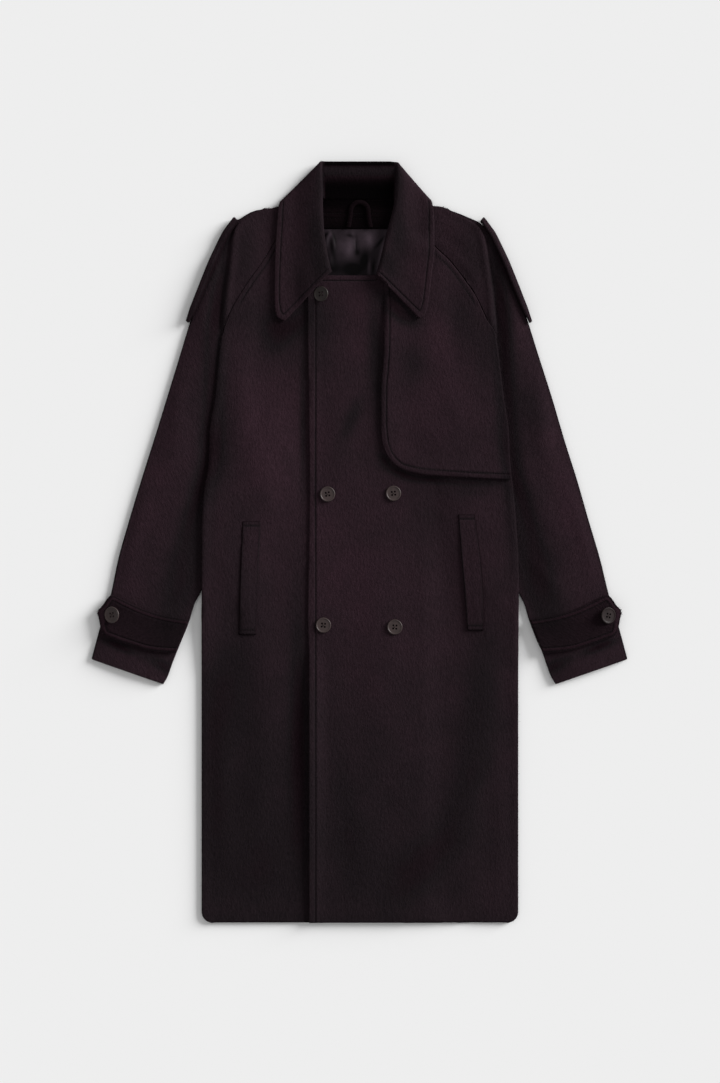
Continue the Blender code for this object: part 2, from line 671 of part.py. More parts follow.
def button(name, x, y, diameter, bed, collection, cutters):
    """A turned four-hole button with a raised rim, flat on the cloth."""
    mesh = bpy.data.meshes.new(name)
    outline = [(share * diameter / 2 * MM, 0.0, rise * BUTTON_WALL * MM) for share, rise in BUTTON_OUTLINE]
    mesh.from_pydata(outline, [(k, k + 1) for k in range(len(outline) - 1)], [])
    thing = link(name, mesh, collection, HORN, 0.45)
    spot = (x * MM, y * MM, (bed.highest(x, y, diameter / 2) + BUTTON_SEAT) * MM)
    thing.location = spot
    turn = thing.modifiers.new("turn", "SCREW")
    turn.steps = turn.render_steps = BUTTON_STEPS
    turn.use_merge_vertices = True
    turn.merge_threshold = 0.00001
    holes = thing.modifiers.new("holes", "BOOLEAN")
    holes.object = hole_cutter(name, spot, cutters)


def lay_body(bed, collection):
    """Back, sleeves and fronts, from the surface up."""
    for side, name in (("west", "right"), ("east", "left")):
        grid = lay(bed, under_sleeve_plan(side), CLOTH)
        sheet("sleeve_back_" + name, grid, CLOTH, collection)
    under = [station for station in COLLAR if station["over"] <= 0.5]
    bed.add(np.array([[(*station[key], 0.0) for key in ("edge", "roll")] for station in under]), COLLAR_WALL)
    sleeves = {side: lower_sleeve(bed, side, sleeve_plan(side, sleeve_rows())) for side in ("west", "east")}
    for grid in sleeves.values():
        bed.add(grid[SHOULDER_ROWS:, :4], CLOTH)
        bed.add(grid[3:, 4:], CLOTH)
    sheet("back", lay(bed, back_plan(), CLOTH), CLOTH, collection)
    facing = strip(FACING, "west", "east", (580, 556, 532), 5)
    sheet("back_neck_facing", lay(bed, facing, FACING_WALL), FACING_WALL, collection)
    lining = strip(LINING, "west", "east", (531.2, 505, 475, 437), 5)
    sheet("lining", lay(bed, lining, LINING_WALL), LINING_WALL, collection, SATIN, 0.35)
    support = fold_support(bed.top.shape)
    for side, name, plan in (("west", "right", underlap_plan()), ("east", "left", overlap_plan())):
        shoulder = sleeves[side][:SHOULDER_ROWS + 1, :4, :2]
        upper = bed.settled(plan, shoulder, support=support, spare=3)
        sheet("front_" + name, lay(bed, plan, CLOTH, upper), CLOTH, collection)
        sleeves[side] = raise_shoulder(sleeves[side], upper, side)
        bed.add(sleeves[side], CLOTH)
        sheet("sleeve_front_" + name, sleeves[side], CLOTH, collection)


def lay_trim(bed, collection):
    """What lies on the panels: flap, welts, collar, loop and straps."""
    sheet("storm_flap", lay(bed, flap_plan(), CLOTH, spare=3), CLOTH, collection)
    for name, table in WELTS.items():
        rows = between(table.rows[-1, 0], table.rows[0, 0], 6)
        sheet("pocket_welt_" + name, lay(bed, strip(table, "outer", "inner", rows, 3), STRAP_WALL, spare=2),
              STRAP_WALL, collection)
    sheet("hanger_loop", lay(bed, loop_plan(), LOOP_WALL, narrow=True), LOOP_WALL, collection)
    sheet("collar", collar_grid(bed), COLLAR_WALL, collection, offset=0.0)
    for side, name in (("west", "right"), ("east", "left")):
        sheet("epaulette_" + name, edge_strap(bed, side), STRAP_WALL, collection, offset=0.0)
        sheet("cuff_strap_" + name, lay(bed, cuff_plan(side), STRAP_WALL, spare=2), STRAP_WALL, collection)


def main():
    for thing in list(bpy.data.objects):
        bpy.data.objects.remove(thing)
    collection = new_collection("wool_coat")
    cutters = new_collection("cutters")
    bed = Bed()
    lay_body(bed, collection)
    lay_trim(bed, collection)
    for name, (x, y, diameter) in BUTTONS.items():
        button(name, x, y, diameter, bed, collection, cutters)


main()
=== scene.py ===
"""The looks of a double-breasted wool coat laid flat: cloth, stitching, fuzz, buttons, floor and light.

Sizes in the tables and the named values are millimetres; meshes are made in metres.
West is the side at -X, the wearer's right; east is the side at +X, the wearer's left.
The tables of edges follow those of the part's source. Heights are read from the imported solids, and
every sheet here is a closed shell with rounded edges on the form of the solid that it stands for.
"""
import math

import bpy
import numpy as np
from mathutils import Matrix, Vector
from mathutils.bvhtree import BVHTree


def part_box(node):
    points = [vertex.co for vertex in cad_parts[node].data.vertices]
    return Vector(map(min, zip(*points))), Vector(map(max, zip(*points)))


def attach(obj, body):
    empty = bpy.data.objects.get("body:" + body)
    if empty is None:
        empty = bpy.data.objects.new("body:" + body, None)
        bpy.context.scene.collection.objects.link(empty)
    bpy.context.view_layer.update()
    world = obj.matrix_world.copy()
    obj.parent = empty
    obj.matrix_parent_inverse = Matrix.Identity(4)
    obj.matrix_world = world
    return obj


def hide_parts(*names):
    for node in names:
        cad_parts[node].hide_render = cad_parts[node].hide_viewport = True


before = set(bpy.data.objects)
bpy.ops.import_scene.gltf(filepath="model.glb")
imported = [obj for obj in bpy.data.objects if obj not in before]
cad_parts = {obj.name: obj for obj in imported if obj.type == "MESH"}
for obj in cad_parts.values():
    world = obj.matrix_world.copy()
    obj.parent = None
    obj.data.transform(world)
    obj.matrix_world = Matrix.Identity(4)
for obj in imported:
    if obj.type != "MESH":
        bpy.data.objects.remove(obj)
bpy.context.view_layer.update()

MM = 0.001
ROOT = "root"

# The photograph: millimetres for each of its pixels, and the pixel that lies over the origin
PIXEL = 1.7
PICTURE_HEIGHT = 1083.0
PICTURE_MIDDLE = (360.0, 541.5)
ORIGIN_PIXEL = (359.5, 542.0)
CAMERA_HEIGHT = 4000.0
SENSOR = 36.0

# Walls of the cloth, and the gaps that it keeps
CLOTH = 3.0
COLLAR_WALL = 4.0
STRAP_WALL = 3.4
FACING_WALL = 2.0
SATIN_WALL = 0.8
LOOP_WALL = 1.8
FOLD_WALL = 1.4
SEAM = 0.5
CLEAR = 0.5

# Stitching: where it lies from an edge, its threads, and the groove that it pulls into the cloth
STITCH_INSET = 9.0
COLLAR_INSET = 10.8
SEAM_STITCH = 7.6
SEAM_SHOWS = 405.0
LAP_STITCH = -74.6
STITCH_LENGTH = 3.1
STITCH_PITCH = 4.5
STITCH_RADIUS = 0.5
STITCH_SUNK = (-0.15, 0.07, -0.15)
GROOVE_DEPTH = 0.8
GROOVE_WIDTH = 1.2
RIM_PUFF = 0.25

# How much painted shade darkens stitching, seams and rims, and how wide it shows
SEWN_DARK, SEWN_WIDTH = 0.46, 1.3
SEAM_DARK, SEAM_WIDTH = 0.20, 2.4
RIM_DARK, RIM_WIDTH = 0.40, 1.7

# Edges that several pieces share
HEM = -646.0
HEM_LINE = ((-270.0, HEM), (270.0, HEM))
FRONT_CORNER = 347.0
UNDERLAP_EDGE = 87.5
UNDERARM = 122.0
STAND_END = 581.0
FLAP_INSET = 0.6
SHOULDER_TOP = 563.0
REAR_SHOULDER_TOP = 566.0
BACK_TOP = 553.5
CUFF_LOW = -241.5

# Distances from an edge at which a sheet has a line of points
PLAIN = (0.0, 2.4, 4.8, 8.0)
CUFF_END = (0.0, 2.4, 4.6, 8.0)
POINT_END = (0.0, 1.2, 2.4, 4.0, 6.0)
STITCHED = (0.0, 2.4, 4.4, 6.2, 7.6, 8.5, 9.3, 10.2, 11.0, 11.8, 13.0, 15.5, 19.5)
LAP_STITCHED = (0.0, 2.4, 4.8, 7.2, 9.2, 10.2, 11.0, 11.8, 12.6, 13.4, 14.2, 15.4, 17.4, 20.5)
NECKLINE = (0.0, 2.4, 4.4, 6.2, 7.6, 8.5, 9.3, 10.4, 11.4, 12.4, 13.4, 14.6, 16.5, 20.0)
FOLDED = (0.0, 0.9, 1.9, 3.2, 5.0, 7.5, 11.0)
STEP = 3.6
REAR_STEP = 7.0
REAR_SLEEVE_STEP = 9.0

RNG_SEED = 7


class Table:
    """Rows of sizes under named columns; every column is a smooth curve of the first one."""

    def __init__(self, columns, *rows):
        self.columns = columns.split()
        self.rows = np.array(sorted(rows), dtype=float)

    def curve(self, name, at):
        return monotone(self.rows[:, 0], self.rows[:, self.columns.index(name)], at)


def monotone(x, y, at):
    """A piecewise cubic through the points (x, y) that never swings past them."""
    step = np.diff(x)
    slope = np.diff(y) / step
    before, after = slope[:-1], slope[1:]
    same_way = before * after > 0
    mean = np.where(same_way, before + after, 1.0)
    tangent = np.concatenate((slope[:1], np.where(same_way, 2 * before * after / mean, 0.0), slope[-1:]))
    at = np.clip(np.asarray(at, dtype=float), x[0], x[-1])
    i = np.clip(np.searchsorted(x, at) - 1, 0, len(step) - 1)
    t = (at - x[i]) / step[i]
    rise = y[i] * (1 + 2 * t) * (1 - t) ** 2 + y[i + 1] * t ** 2 * (3 - 2 * t)
    return rise + step[i] * (tangent[i] * t * (1 - t) ** 2 - tangent[i + 1] * t ** 2 * (1 - t))


def smooth(low, high, value):
    """0 at or below low, 1 at or above high, with soft ends."""
    t = np.clip((np.asarray(value, dtype=float) - low) / (high - low), 0.0, 1.0)
    return t * t * (3 - 2 * t)


def bump(distance, width):
    return np.exp(-(distance / width) ** 2)


# The arm's outer edge, from the neck along the shoulder and down to the cuff
ARM_EDGE = Table(
    "y west east",
    (563, -160, 148), (556, -182, 169), (548, -200.5, 188.5), (540.5, -216, 205),
    (528, -223.5, 219), (513, -232, 229), (479, -248, 244.5), (445, -262.5, 260),
    (411, -275, 273), (377, -286.5, 285), (326, -302, 301), (241, -328, 328),
    (173, -349, 348), (105, -370.5, 369.5), (37, -391, 389), (-31, -410, 409),
    (-92, -423, 424), (-133, -437, 437), (-199, -455, 455),
)

# The raglan seam from the collar's edge to the underarm, which the back shares
RAGLAN_ROWS = (
    (444, -187, 179), (416, -205, 198), (399, -214.5, 206), (377, -224.5, 216.5), (355, -230.5, 229.5),
    (300, -229, 229), (250, -223, 223), (200, -213, 213), (160, -203.5, 203.5), (122, -194, 194),
)
# The raglan seam down to the underarm, then the sleeve's inner edge down to the cuff
ARM_SEAM = Table(
    "y west east",
    (563, -131, 112), (540, -127, 108), (508, -144.5, 123), (476, -164.5, 154.5), *RAGLAN_ROWS,
    (60, -216.6, 216.6), (-85, -269.5, 269.5), (-105, -280, 279.5), (-133, -288.5, 288),
    (-167, -302, 301), (-189, -311, 311), (-207, -318, 317), (-228, -325.5, 325), (-241.5, -333, 333),
)

# Heights of a sleeve row's inner end and of its outer end: level rows, then slanting ones
SLEEVE_SLANT = Table(
    "inner outer",
    (-241.5, -199), (-230, -190), (-203, -172), (-160, -140), (-120, -112), (-80, -80), (566, 566),
)

# The fold where the shoulder turns under and the sleeve comes out; lower down, the sleeve's middle
ARM_FOLD = Table(
    "y west east",
    (563, -152, 140), (556, -172, 159), (548, -190, 178), (540.5, -203, 193),
    (528, -210.5, 205), (513, -214, 210), (488, -216.5, 213.5), (445, -222, 219.5),
    (418, -226, 223), (384, -230.5, 227.5), (347, -234, 232), (321, -237.5, 235.5),
    (250, -244.5, 244), (187, -254.5, 254), (139, -256, 255), (60, -271, 271),
    (-85, -300, 300), (-241.5, -365, 365),
)

# How far the shoulder's top edge stands above its plain line, beside the collar
SHOULDER_LIFT = Table(
    "x west east",
    (118, 8, 8), (138, 7, 6.5), (150, 3.5, 2.5), (165, 3.5, 1), (185, 4.5, 0), (208, 0, 0),
)

# The rounded corners of the hem
HEM_CORNER = ((-628, -268, 269.5), (-636.5, -266, 267.5), (-642, -261.5, 263), (-645, -256, 257.5),
              (-646, -250, 251.5))

# The seams between the back and the back of the sleeves, and the back's own edge below the arm
BACK_EDGE = Table(
    "y west east",
    (566, -141.5, 127.5), (530, -141.5, 127.5), (508, -146, 130), (476, -165, 155), *RAGLAN_ROWS,
    (104, -206, 206), (84, -232, 232), (64, -256, 256), (40, -265, 264), (0, -267, 267),
    (-85, -267.5, 269.5), *HEM_CORNER,
)

# The front's side edge: the armhole fold, the side seam and the rounded hem corner
BODY_EDGE = Table(
    "y west east",
    (347, -233.5, 231.5), (321, -237.5, 235.5), (250, -244.5, 244), (187, -254.5, 253),
    (139, -256, 255), (116, -258, 257), (83, -264, 261), (25, -267, 266),
    (-31, -267.3, 269), (-85, -267.5, 270), (-200, -268, 269.5), *HEM_CORNER,
)

# The edge of the over-lap, down the middle of the chest and skirt
LAP_EDGE = Table("y x", (347, -88), (88, -85), (-133, -88), (-200, -86), (-646, -86))

# The top edges of the two fronts beyond the raglan seam: the neck seam and the lap's own top
OVERLAP_NECK = ((-88, 452), (-62, 452), (-30, 452), (5, 452), (28, 453), (45, 472), (66, 502), (88, 528))
UNDERLAP_NECK = ((-108, 524), (-88, 490), (-66, 455), (-50, 440), (-10, 440), (40, 440), (87.5, 440))

# The collar by stations from the west tip round the neck to the east tip:
# the leaf's edge, the roll line, the end of the stand, and 1 where the leaf is on top
COLLAR = Table(
    "station edge_x edge_y roll_x roll_y neck_x neck_y over",
    (0, -127, 374, -48.5, 457, -64, 466, 1.0), (1, -140, 382, -52, 470, -68, 478, 1.0),
    (2, -144, 404, -55.5, 486, -72, 492, 1.0), (3, -144.5, 440, -59, 506, -76, 510, 1.0),
    (4, -143.5, 488, -62.5, 537, -79, 540, 1.0), (5, -141, 532, -64, 575, -80, 574, 1.0),
    (6, -139, 556, -64.5, 612, -77, 600, 1.0), (7, -137, 570, -65, 636, -70, 596, 0.86),
    (8, -133, 576, -64.6, 644, -63, 583, 0.50), (9, -125, 574, -58, 644, -57, STAND_END, 0.12),
    (10, -116, 560, -50, 644, -50, STAND_END, 0.0), (11, -62, 555.5, -28, 644, -28, STAND_END, 0.0),
    (12, -3, 554.5, 0, 644, 0, STAND_END, 0.0), (13, 56, 555.5, 28, 644, 28, STAND_END, 0.0),
    (14, 104, 561, 50, 644, 50, STAND_END, 0.0), (15, 112, 575, 58, 643, 57, STAND_END, 0.12),
    (16, 120, 578, 64, 642, 62, 583, 0.50), (17, 124, 571, 64.5, 634, 69, 596, 0.86),
    (18, 126, 556, 63, 610, 76, 600, 1.0), (19, 127, 532, 60.5, 575, 77, 574, 1.0),
    (20, 127, 494, 53, 543, 69, 546, 1.0), (21, 122.5, 454, 44.5, 511, 60, 517, 1.0),
    (22, 118.5, 420, 38.5, 484, 54, 492, 1.0), (23, 112.5, 389, 33, 463, 48, 472, 1.0),
    (24, 102, 377, 29.5, 451, 44, 461, 1.0),
)
LAST_STATION = 24
FRONT_STATIONS = (0.0, 0.16, 0.3, 0.42, 0.53, 0.62, 0.7, 0.8, 0.95, 1.15)
STITCH_STATION = 0.62
LEAF_STITCH_END = 7.0
ROLL = 3.8
ROLL_BEND = ROLL + 1.2
ROLL_BOW = 2 * ROLL + 1.0
STAND_HEIGHT = 2 * ROLL + COLLAR_WALL / 2 + 1.4
LEAF_RISE = 0.35
LEAF_LIFT = 1.6

# The storm flap: its top under the collar, its upright edge and its lower edge to the armhole
FLAP_TOP = ((42, 444), (44, 447), (47, 451), (53, 459), (62, 470), (75, 488), (90, 506))
FLAP_SIDE = Table("y x", (196, 36.5), (260, 36.6), (295.8, 39.6), (343.4, 42), (444, 42))
FLAP_LOWER = Table(
    "x y",
    (36.5, 196), (38.5, 172), (44, 154), (51.5, 140.5), (63, 129), (77.4, 121.4), (113, 114),
    (184.5, 109.3), (257, 105.5),
)

# Straps on edge over the sleeves' top fold: outer and inner rim, from the shoulder to the point
EPAULETTE = Table(
    "step x y inner_x inner_y",
    (0, 213.5, 547, 207, 539), (1, 229, 528, 221.5, 519), (2, 242, 503, 232.5, 496),
    (3, 253.5, 478, 244, 470), (4, 266.5, 446, 257, 438), (5, 277.5, 418, 268.5, 410),
    (6, 286, 396, 278.5, 389), (7, 291, 381, 288, 378),
)
# Painted shade across the strap, from its inner edge to its hanging side: dark at the inner edge and at the
# outer rim
EPAULETTE_SHADE = Table("share light", (0, 0.26), (0.0625, 0.30), (0.125, 0.62), (0.19, 0.92), (0.31, 0.96),
                        (0.45, 0.84), (0.56, 0.5), (1, 0.45))
WEST_SPREAD = 2.2
# The steps at which the strap's top end narrows and its point begins, and how far each end is drawn
EPAULETTE_TIP = 0.8
TIP_DRAWN = (-2.5, 5.0)
EPAULETTE_POINT = 6.1
POINT_DRAWN = (1.8, -6.0)
# The bend between the strap's top and its hanging side, which leans in against the sleeve's edge
STRAP_BEND = 2.6
STRAP_CROWN = 1.6
STRAP_LEAN = 3.0

# How far outside its table the crease beside the sleeve's fold lies
FOLD_SHIFT = 3.0

# Pointed straps across the cuffs, from the inner edge of the sleeve to the point
CUFF_STRAP = Table(
    "step top_x top_y low_x low_y",
    (0, 289, -131.5, 311.5, -188.5), (1, 313, -128, 334, -187.5), (2, 338.3, -122.7, 360, -184),
    (3, 366.4, -113.6, 388, -175.5), (4, 394.4, -101, 414, -166.5), (5, 419.4, -90, 435.5, -156),
    (6, 436, -108, 441.5, -132), (7, 442.5, -115, 444, -121),
)

# A painted highlight along the strap's rolled rims, as a share of its lightness
STRAP_RIM_LIGHT = 0.45
STRAP_PUFF = 1.1
EDGE_STITCH = 3.2
POINT_CLEAR = 437.0

# Upright pocket welts: their two long edges
WELTS = {
    "right": Table("y outer inner", (35.7, -198.7, -167.1), (-46, -202, -171), (-157.3, -205, -174.6)),
    "left": Table("y outer inner", (47.3, 196, 166.8), (-46, 208, 174.3), (-90, 211, 178.5),
                  (-150, 211, 182.6)),
}
WELT_DROP = 2.2
WELT_SINK = 0.8
# Painted shade in the welt's open mouth and at its stitched ends
WELT_MOUTH_DARK = 0.65
WELT_END_DARK = 0.55
WELT_STITCHES = {"right": (27.0, -148.5, -157.0), "left": (39.0, -141.0, -150.0)}

# The strip inside the back neck and the top of the lining: the ends of each row
FACING = Table("y west east", (532, -72, 58), (550, -72, 60), (580, -60, 58))
FACING_STITCHES = (557.6, 549.1)
LINING = Table("y west east", (437, -55, 40), (475, -62, 47), (505, -69, 54), (531, -73, 58))
LINING_TOP = 531.2

# The hanger loop: half its width and where its legs and its bow end, along the strap's middle
LOOP_HALF = 15.0
LOOP_SPREAD = 4.0
LOOP_FOOT = 533.5
LOOP_BEND = 561.5
LOOP_WIDTH = 7.6
# Painted shade on the hanger loop, which lies inside the neck
LOOP_SHADE = 0.32

FRONT_BUTTON = 26.0
CUFF_BUTTON = 28.0
CUFF_TILT = 24.0
TOP_TILT = -20.0
BUTTONS = {
    "button_top": (-64.6, 420.2, FRONT_BUTTON, TOP_TILT),
    "button_middle_right": (-54.2, 81.2, FRONT_BUTTON, 0.0),
    "button_middle_left": (57.6, 82.5, FRONT_BUTTON, 0.0),
    "button_lower_right": (-61.2, -141.0, FRONT_BUTTON, 0.0),
    "button_lower_left": (59.8, -144.0, FRONT_BUTTON, 0.0),
    "cuff_button_right": (-418.5, -123.3, CUFF_BUTTON, -CUFF_TILT),
    "cuff_button_left": (420.5, -124.4, CUFF_BUTTON, CUFF_TILT),
}

# Soft folds, given one by one: both ends, how far each spreads to its sides, and how high it stands
BODY_FOLDS = (
    (-215, 330, -150, 60, 26, 2.0), (-150, 300, -120, 60, 22, 1.2), (-230, 20, -140, -330, 30, 2.2),
    (-120, -160, -190, -560, 34, 2.6), (-240, -260, -215, -600, 24, 1.6), (-20, 330, -30, 60, 30, 1.8),
    (10, 60, 70, -420, 42, 2.8), (110, 330, 190, 150, 30, 1.4), (150, 80, 110, -200, 30, 1.4),
    (240, -120, 130, -600, 30, 2.6), (20, -330, -10, -640, 34, 1.6), (235, -330, 245, -630, 18, 1.4),
    (180, -420, 200, -640, 26, 1.2),
)
SLEEVE_FOLDS = (
    (262, 440, 262, 250, 16, 1.6), (300, 290, 330, 90, 18, 2.0), (262, 180, 330, 20, 16, 1.2),
    (360, 110, 400, -80, 16, 1.6), (290, -20, 350, -110, 12, 1.2), (160, 500, 215, 395, 14, 1.0),
)
LAP_LIFT = Table("y height", (-646, 2.2), (-560, 4.0), (-420, 6.0), (-300, 6.5), (-215, 4.0), (-165, 0.4),
                 (60, 0.2), (200, 1.2), (340, 0.6), (452, 0.3))
LAP_REACH = 34.0
LINING_FOLDS = (
    (-50, 528, -62, 496, 3.4, 2.4), (-48, 528, -44, 488, 3.0, 2.2), (-22, 520, -20, 478, 9.0, 2.6),
    (20, 527, 6, 490, 10.0, 2.4), (48, 527, 32, 452, 4.2, 3.0), (17, 482, 16, 452, 3.2, 2.2),
    (-14, 531, -12, 516, 4.0, 1.4), (-52, 492, -46, 462, 6.0, 1.6), (-5, 518, -4, 486, 2.4, -2.0),
)

# Painted shade and light on the cloth: shadows under the collar's leaves, the storm flap, the over-lap's edge
# and the cuff straps, painted shade in the creases between the sleeves and the body, and lighter and darker
# tone of the nap: middle, reach along and across, turn in degrees, and how much
SHADES = (
    (-104, -330, 14, 200, 0, -0.50), (-96, 205, 5, 130, 0, -0.30), (-152, 190, 58, 100, 0, 0.16),
    (-242, 160, 28, 62, 0, -0.28), (-205, -30, 24, 90, 0, -0.10), (-140, 352, 27, 42, 0, -0.26),
    (-175, 385, 58, 44, 0, -0.16), (-225, -250, 40, 120, -18, -0.26), (-165, -390, 34, 90, -10, -0.06),
    (-245, -420, 24, 170, 0, -0.20), (-180, -560, 70, 70, 0, -0.16), (28, 310, 13, 105, 2, -0.34),
    (-14, 208, 12, 38, -24, -0.32), (4, 375, 30, 60, 0, 0.10), (-67, 364, 26, 48, 0, -0.22),
    (-30, -60, 60, 120, 14, 0.14), (110, 20, 26, 60, -8, -0.12), (130, 350, 40, 50, 0, 0.14),
    (172, 378, 28, 48, 10, -0.22), (92, 299, 26, 38, 0, -0.22), (216, 312, 24, 56, 5, -0.20),
    (150, 250, 60, 50, 0, 0.10), (60, 399, 30, 15, -41, -0.58), (84, 378, 26, 12, -20, -0.32),
    (-194, 485, 24, 60, 0, -0.20), (192, 485, 24, 60, 0, -0.20), (-112, 368, 44, 18, 40, -0.40),
    (-140, 366, 18, 16, 0, -0.30), (179, 88, 56, 14, 0, -0.16), (42, 138, 14, 6, -50, -0.55),
    (70, 116, 28, 6, -22, -0.62), (125, 105, 40, 5, -4, -0.58), (195, 101, 50, 5, -2, -0.42),
    (208, -260, 30, 120, -6, -0.28), (186, -410, 26, 80, -20, -0.22), (112, -545, 30, 84, -40, -0.28),
    (20, -400, 46, 120, 8, -0.02), (60, -560, 90, 60, 0, -0.14), (-20, -480, 20, 130, 6, -0.16),
    (-238, 190, 9, 150, -5, -0.20), (241, 190, 9, 150, 5, -0.20),
    (-304, -66, 29, 84, -15, -0.42), (303, -60, 30, 92, 16, -0.46), (-276, 76, 15, 95, -17, -0.46),
    (276, 76, 15, 95, 17, -0.44), (-252, 250, 14, 130, -5, -0.44), (252, 250, 14, 140, 5, -0.46),
    (-345, 100, 26, 150, -17, 0.10), (345, 100, 26, 150, 17, 0.10), (-290, 228, 22, 50, -14, -0.14),
    (292, 228, 24, 54, 14, -0.20), (-243, 402, 13, 90, -8, -0.50), (241, 402, 13, 90, 8, -0.50),
    (-330, -212, 34, 10, -30, -0.45), (-408, -177, 28, 6, -22, -0.70), (330, -212, 34, 10, 30, -0.45),
    (408, -177, 28, 6, 22, -0.70), (-110, 520, 20, 40, 0, -0.10), (-98, 410, 26, 50, 0, -0.10),
    (0, -500, 420, 260, 0, -0.20), (-200, -420, 90, 240, 0, -0.14), (-251, 453, 3.5, 74, -25, -0.42),
    (249, 453, 3.5, 74, 25, -0.42), (-160, -640, 300, 12, 0, -0.10),
)
# Painted highlights and shade along the satin's creases, with the same columns
LINING_SHADES = (
    (0, 490, 300, 300, 0, -0.42), (-56.5, 522, 2.6, 9, -52, -0.90), (-43, 516, 2.6, 11, 17, -0.90),
    (-44, 492, 4.5, 22, 5, -0.85), (-58, 488, 7, 18, 0, -0.60), (-22, 500, 11, 15, 0, 1.9),
    (-16, 520, 9, 2.6, -10, -0.62), (-5.2, 502, 1.9, 14, 0, -0.80), (-4, 492, 4.8, 6.5, 0, -0.92),
    (15, 513, 15, 13, 20, 1.9), (34.5, 509, 2.8, 15, -39, -0.95), (37.5, 490, 3.2, 34, -12, 2.4),
    (-11.5, 463, 20, 13, 0, -1.4), (8, 478, 9, 18, -10, -1.2), (16.5, 466, 2.6, 12, 0, 2.6),
    (23.5, 467, 2.8, 14, -8, -0.90), (-45, 464, 22, 14, 0, -0.85), (-49, 520, 2.6, 9, 8, 1.8),
)

# Painted shade and light on the collar, darker beside the neck and under the leaves' edges; the same columns
# as the cloth's
COLLAR_SHADES = (
    (-72, 520, 16, 60, 0, -0.30), (66, 520, 16, 60, 0, -0.28), (-118, 470, 22, 60, 0, 0.06),
    (-100, 440, 24, 34, 20, -0.14), (104, 440, 16, 50, 0, 0.08), (-66, 612, 9, 40, 0, -0.25),
    (-112, 600, 22, 22, 0, 0.10), (66, 612, 9, 40, 0, -0.20), (-62, 472, 14, 26, -20, -0.30),
    (48, 470, 14, 26, 15, -0.35), (-48, 461, 6, 9, 0, -0.45),
)

# Painted shade on the cloth inside the neck, in the collar's deep shade, lighter along the crest of the roll
# where it meets the light: lightness by height, and its patches
STAND_PATCHES = ((36, 590, 30, 16, 0, -0.55), (-30, 586, 22, 10, 0, 0.20))
FACING_PATCHES = ((-38, 557, 20, 10, 0, 0.25), (4, 552, 11, 16, 0, -0.55), (36, 562, 20, 8, 0, 0.20))
STAND_SHADE = Table("y light", (575, 0.06), (600, 0.04), (609, 0.10), (618, 0.36), (626, 0.74), (632, 0.78),
                    (636, 0.60), (638.5, 0.07), (646, 0.03))
FACING_SHADE = Table("y light", (531, 0.12), (540, 0.20), (550, 0.24), (560, 0.22), (568, 0.13), (582, 0.06))


# Where the values of a noise texture begin and end, but for a few
NOISE_LOW = 0.28
NOISE_HIGH = 0.72


def tree_of(thing):
    """The faces of an object for rays, in millimetres."""
    points = [Vector(v.co) / MM for v in thing.data.vertices]
    return BVHTree.FromPolygons(points, [list(p.vertices) for p in thing.data.polygons])


# Rays start this high, above everything
RAY_HEIGHT = 200.0


class Ground:
    """The tops of some objects, read by rays from above."""

    def __init__(self, *things):
        self.trees = [tree_of(thing) for thing in things]

    def top(self, x, y):
        """The highest point under each (x, y), and nan where there is none."""
        x, y = np.asarray(x, dtype=float), np.asarray(y, dtype=float)
        heights = np.full(x.shape, np.nan)
        down = Vector((0.0, 0.0, -1.0))
        for at in np.ndindex(x.shape):
            start = Vector((x[at], y[at], RAY_HEIGHT))
            hits = [tree.ray_cast(start, down)[0] for tree in self.trees]
            found = [hit.z for hit in hits if hit is not None]
            if found:
                heights[at] = max(found)
        return heights


def solids(*names):
    return Ground(*[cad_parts[name] for name in names])


def around(field):
    """A field's four neighbours at every point, nan past its borders."""
    padded = np.pad(field, 1, constant_values=np.nan)
    return np.stack((padded[1:-1, :-2], padded[1:-1, 2:], padded[:-2, 1:-1], padded[2:, 1:-1]))


def filled(field):
    """Spread the known values of a grid into those that are nan."""
    while np.isnan(field).any():
        near = around(field)
        known = ~np.isnan(near)
        count = known.sum(axis=0)
        mean = np.where(known, near, 0.0).sum(axis=0) / np.maximum(count, 1)
        field = np.where(np.isnan(field) & (count > 0), mean, field)
    return field


def softened(field, times):
    for _ in range(times):
        near = around(field)
        near = np.where(np.isnan(near), field, near)
        field = 0.5 * field + 0.125 * near.sum(axis=0)
    return field


class Relief:
    """Heights of the cloth below a piece on a square lattice, widened and softened."""

    def __init__(self, ground, low, high, cell, spread, times):
        self.low, self.cell = np.array(low, dtype=float), cell
        count = np.ceil((np.array(high) - self.low) / cell).astype(int) + 2
        x, y = np.meshgrid(np.arange(count[0]) * cell + low[0], np.arange(count[1]) * cell + low[1],
                           indexing="ij")
        field = filled(ground.top(x, y))
        for _ in range(spread):
            near = around(field)
            field = np.maximum(field, np.where(np.isnan(near), -np.inf, near).max(axis=0))
        self.field = softened(field, times)

    def at(self, x, y):
        u = np.clip((np.asarray(x) - self.low[0]) / self.cell, 0, self.field.shape[0] - 1.001)
        v = np.clip((np.asarray(y) - self.low[1]) / self.cell, 0, self.field.shape[1] - 1.001)
        i, j = np.floor(u).astype(int), np.floor(v).astype(int)
        s, t = u - i, v - j
        low = self.field[i, j] * (1 - s) + self.field[i + 1, j] * s
        high = self.field[i, j + 1] * (1 - s) + self.field[i + 1, j + 1] * s
        return low * (1 - t) + high * t


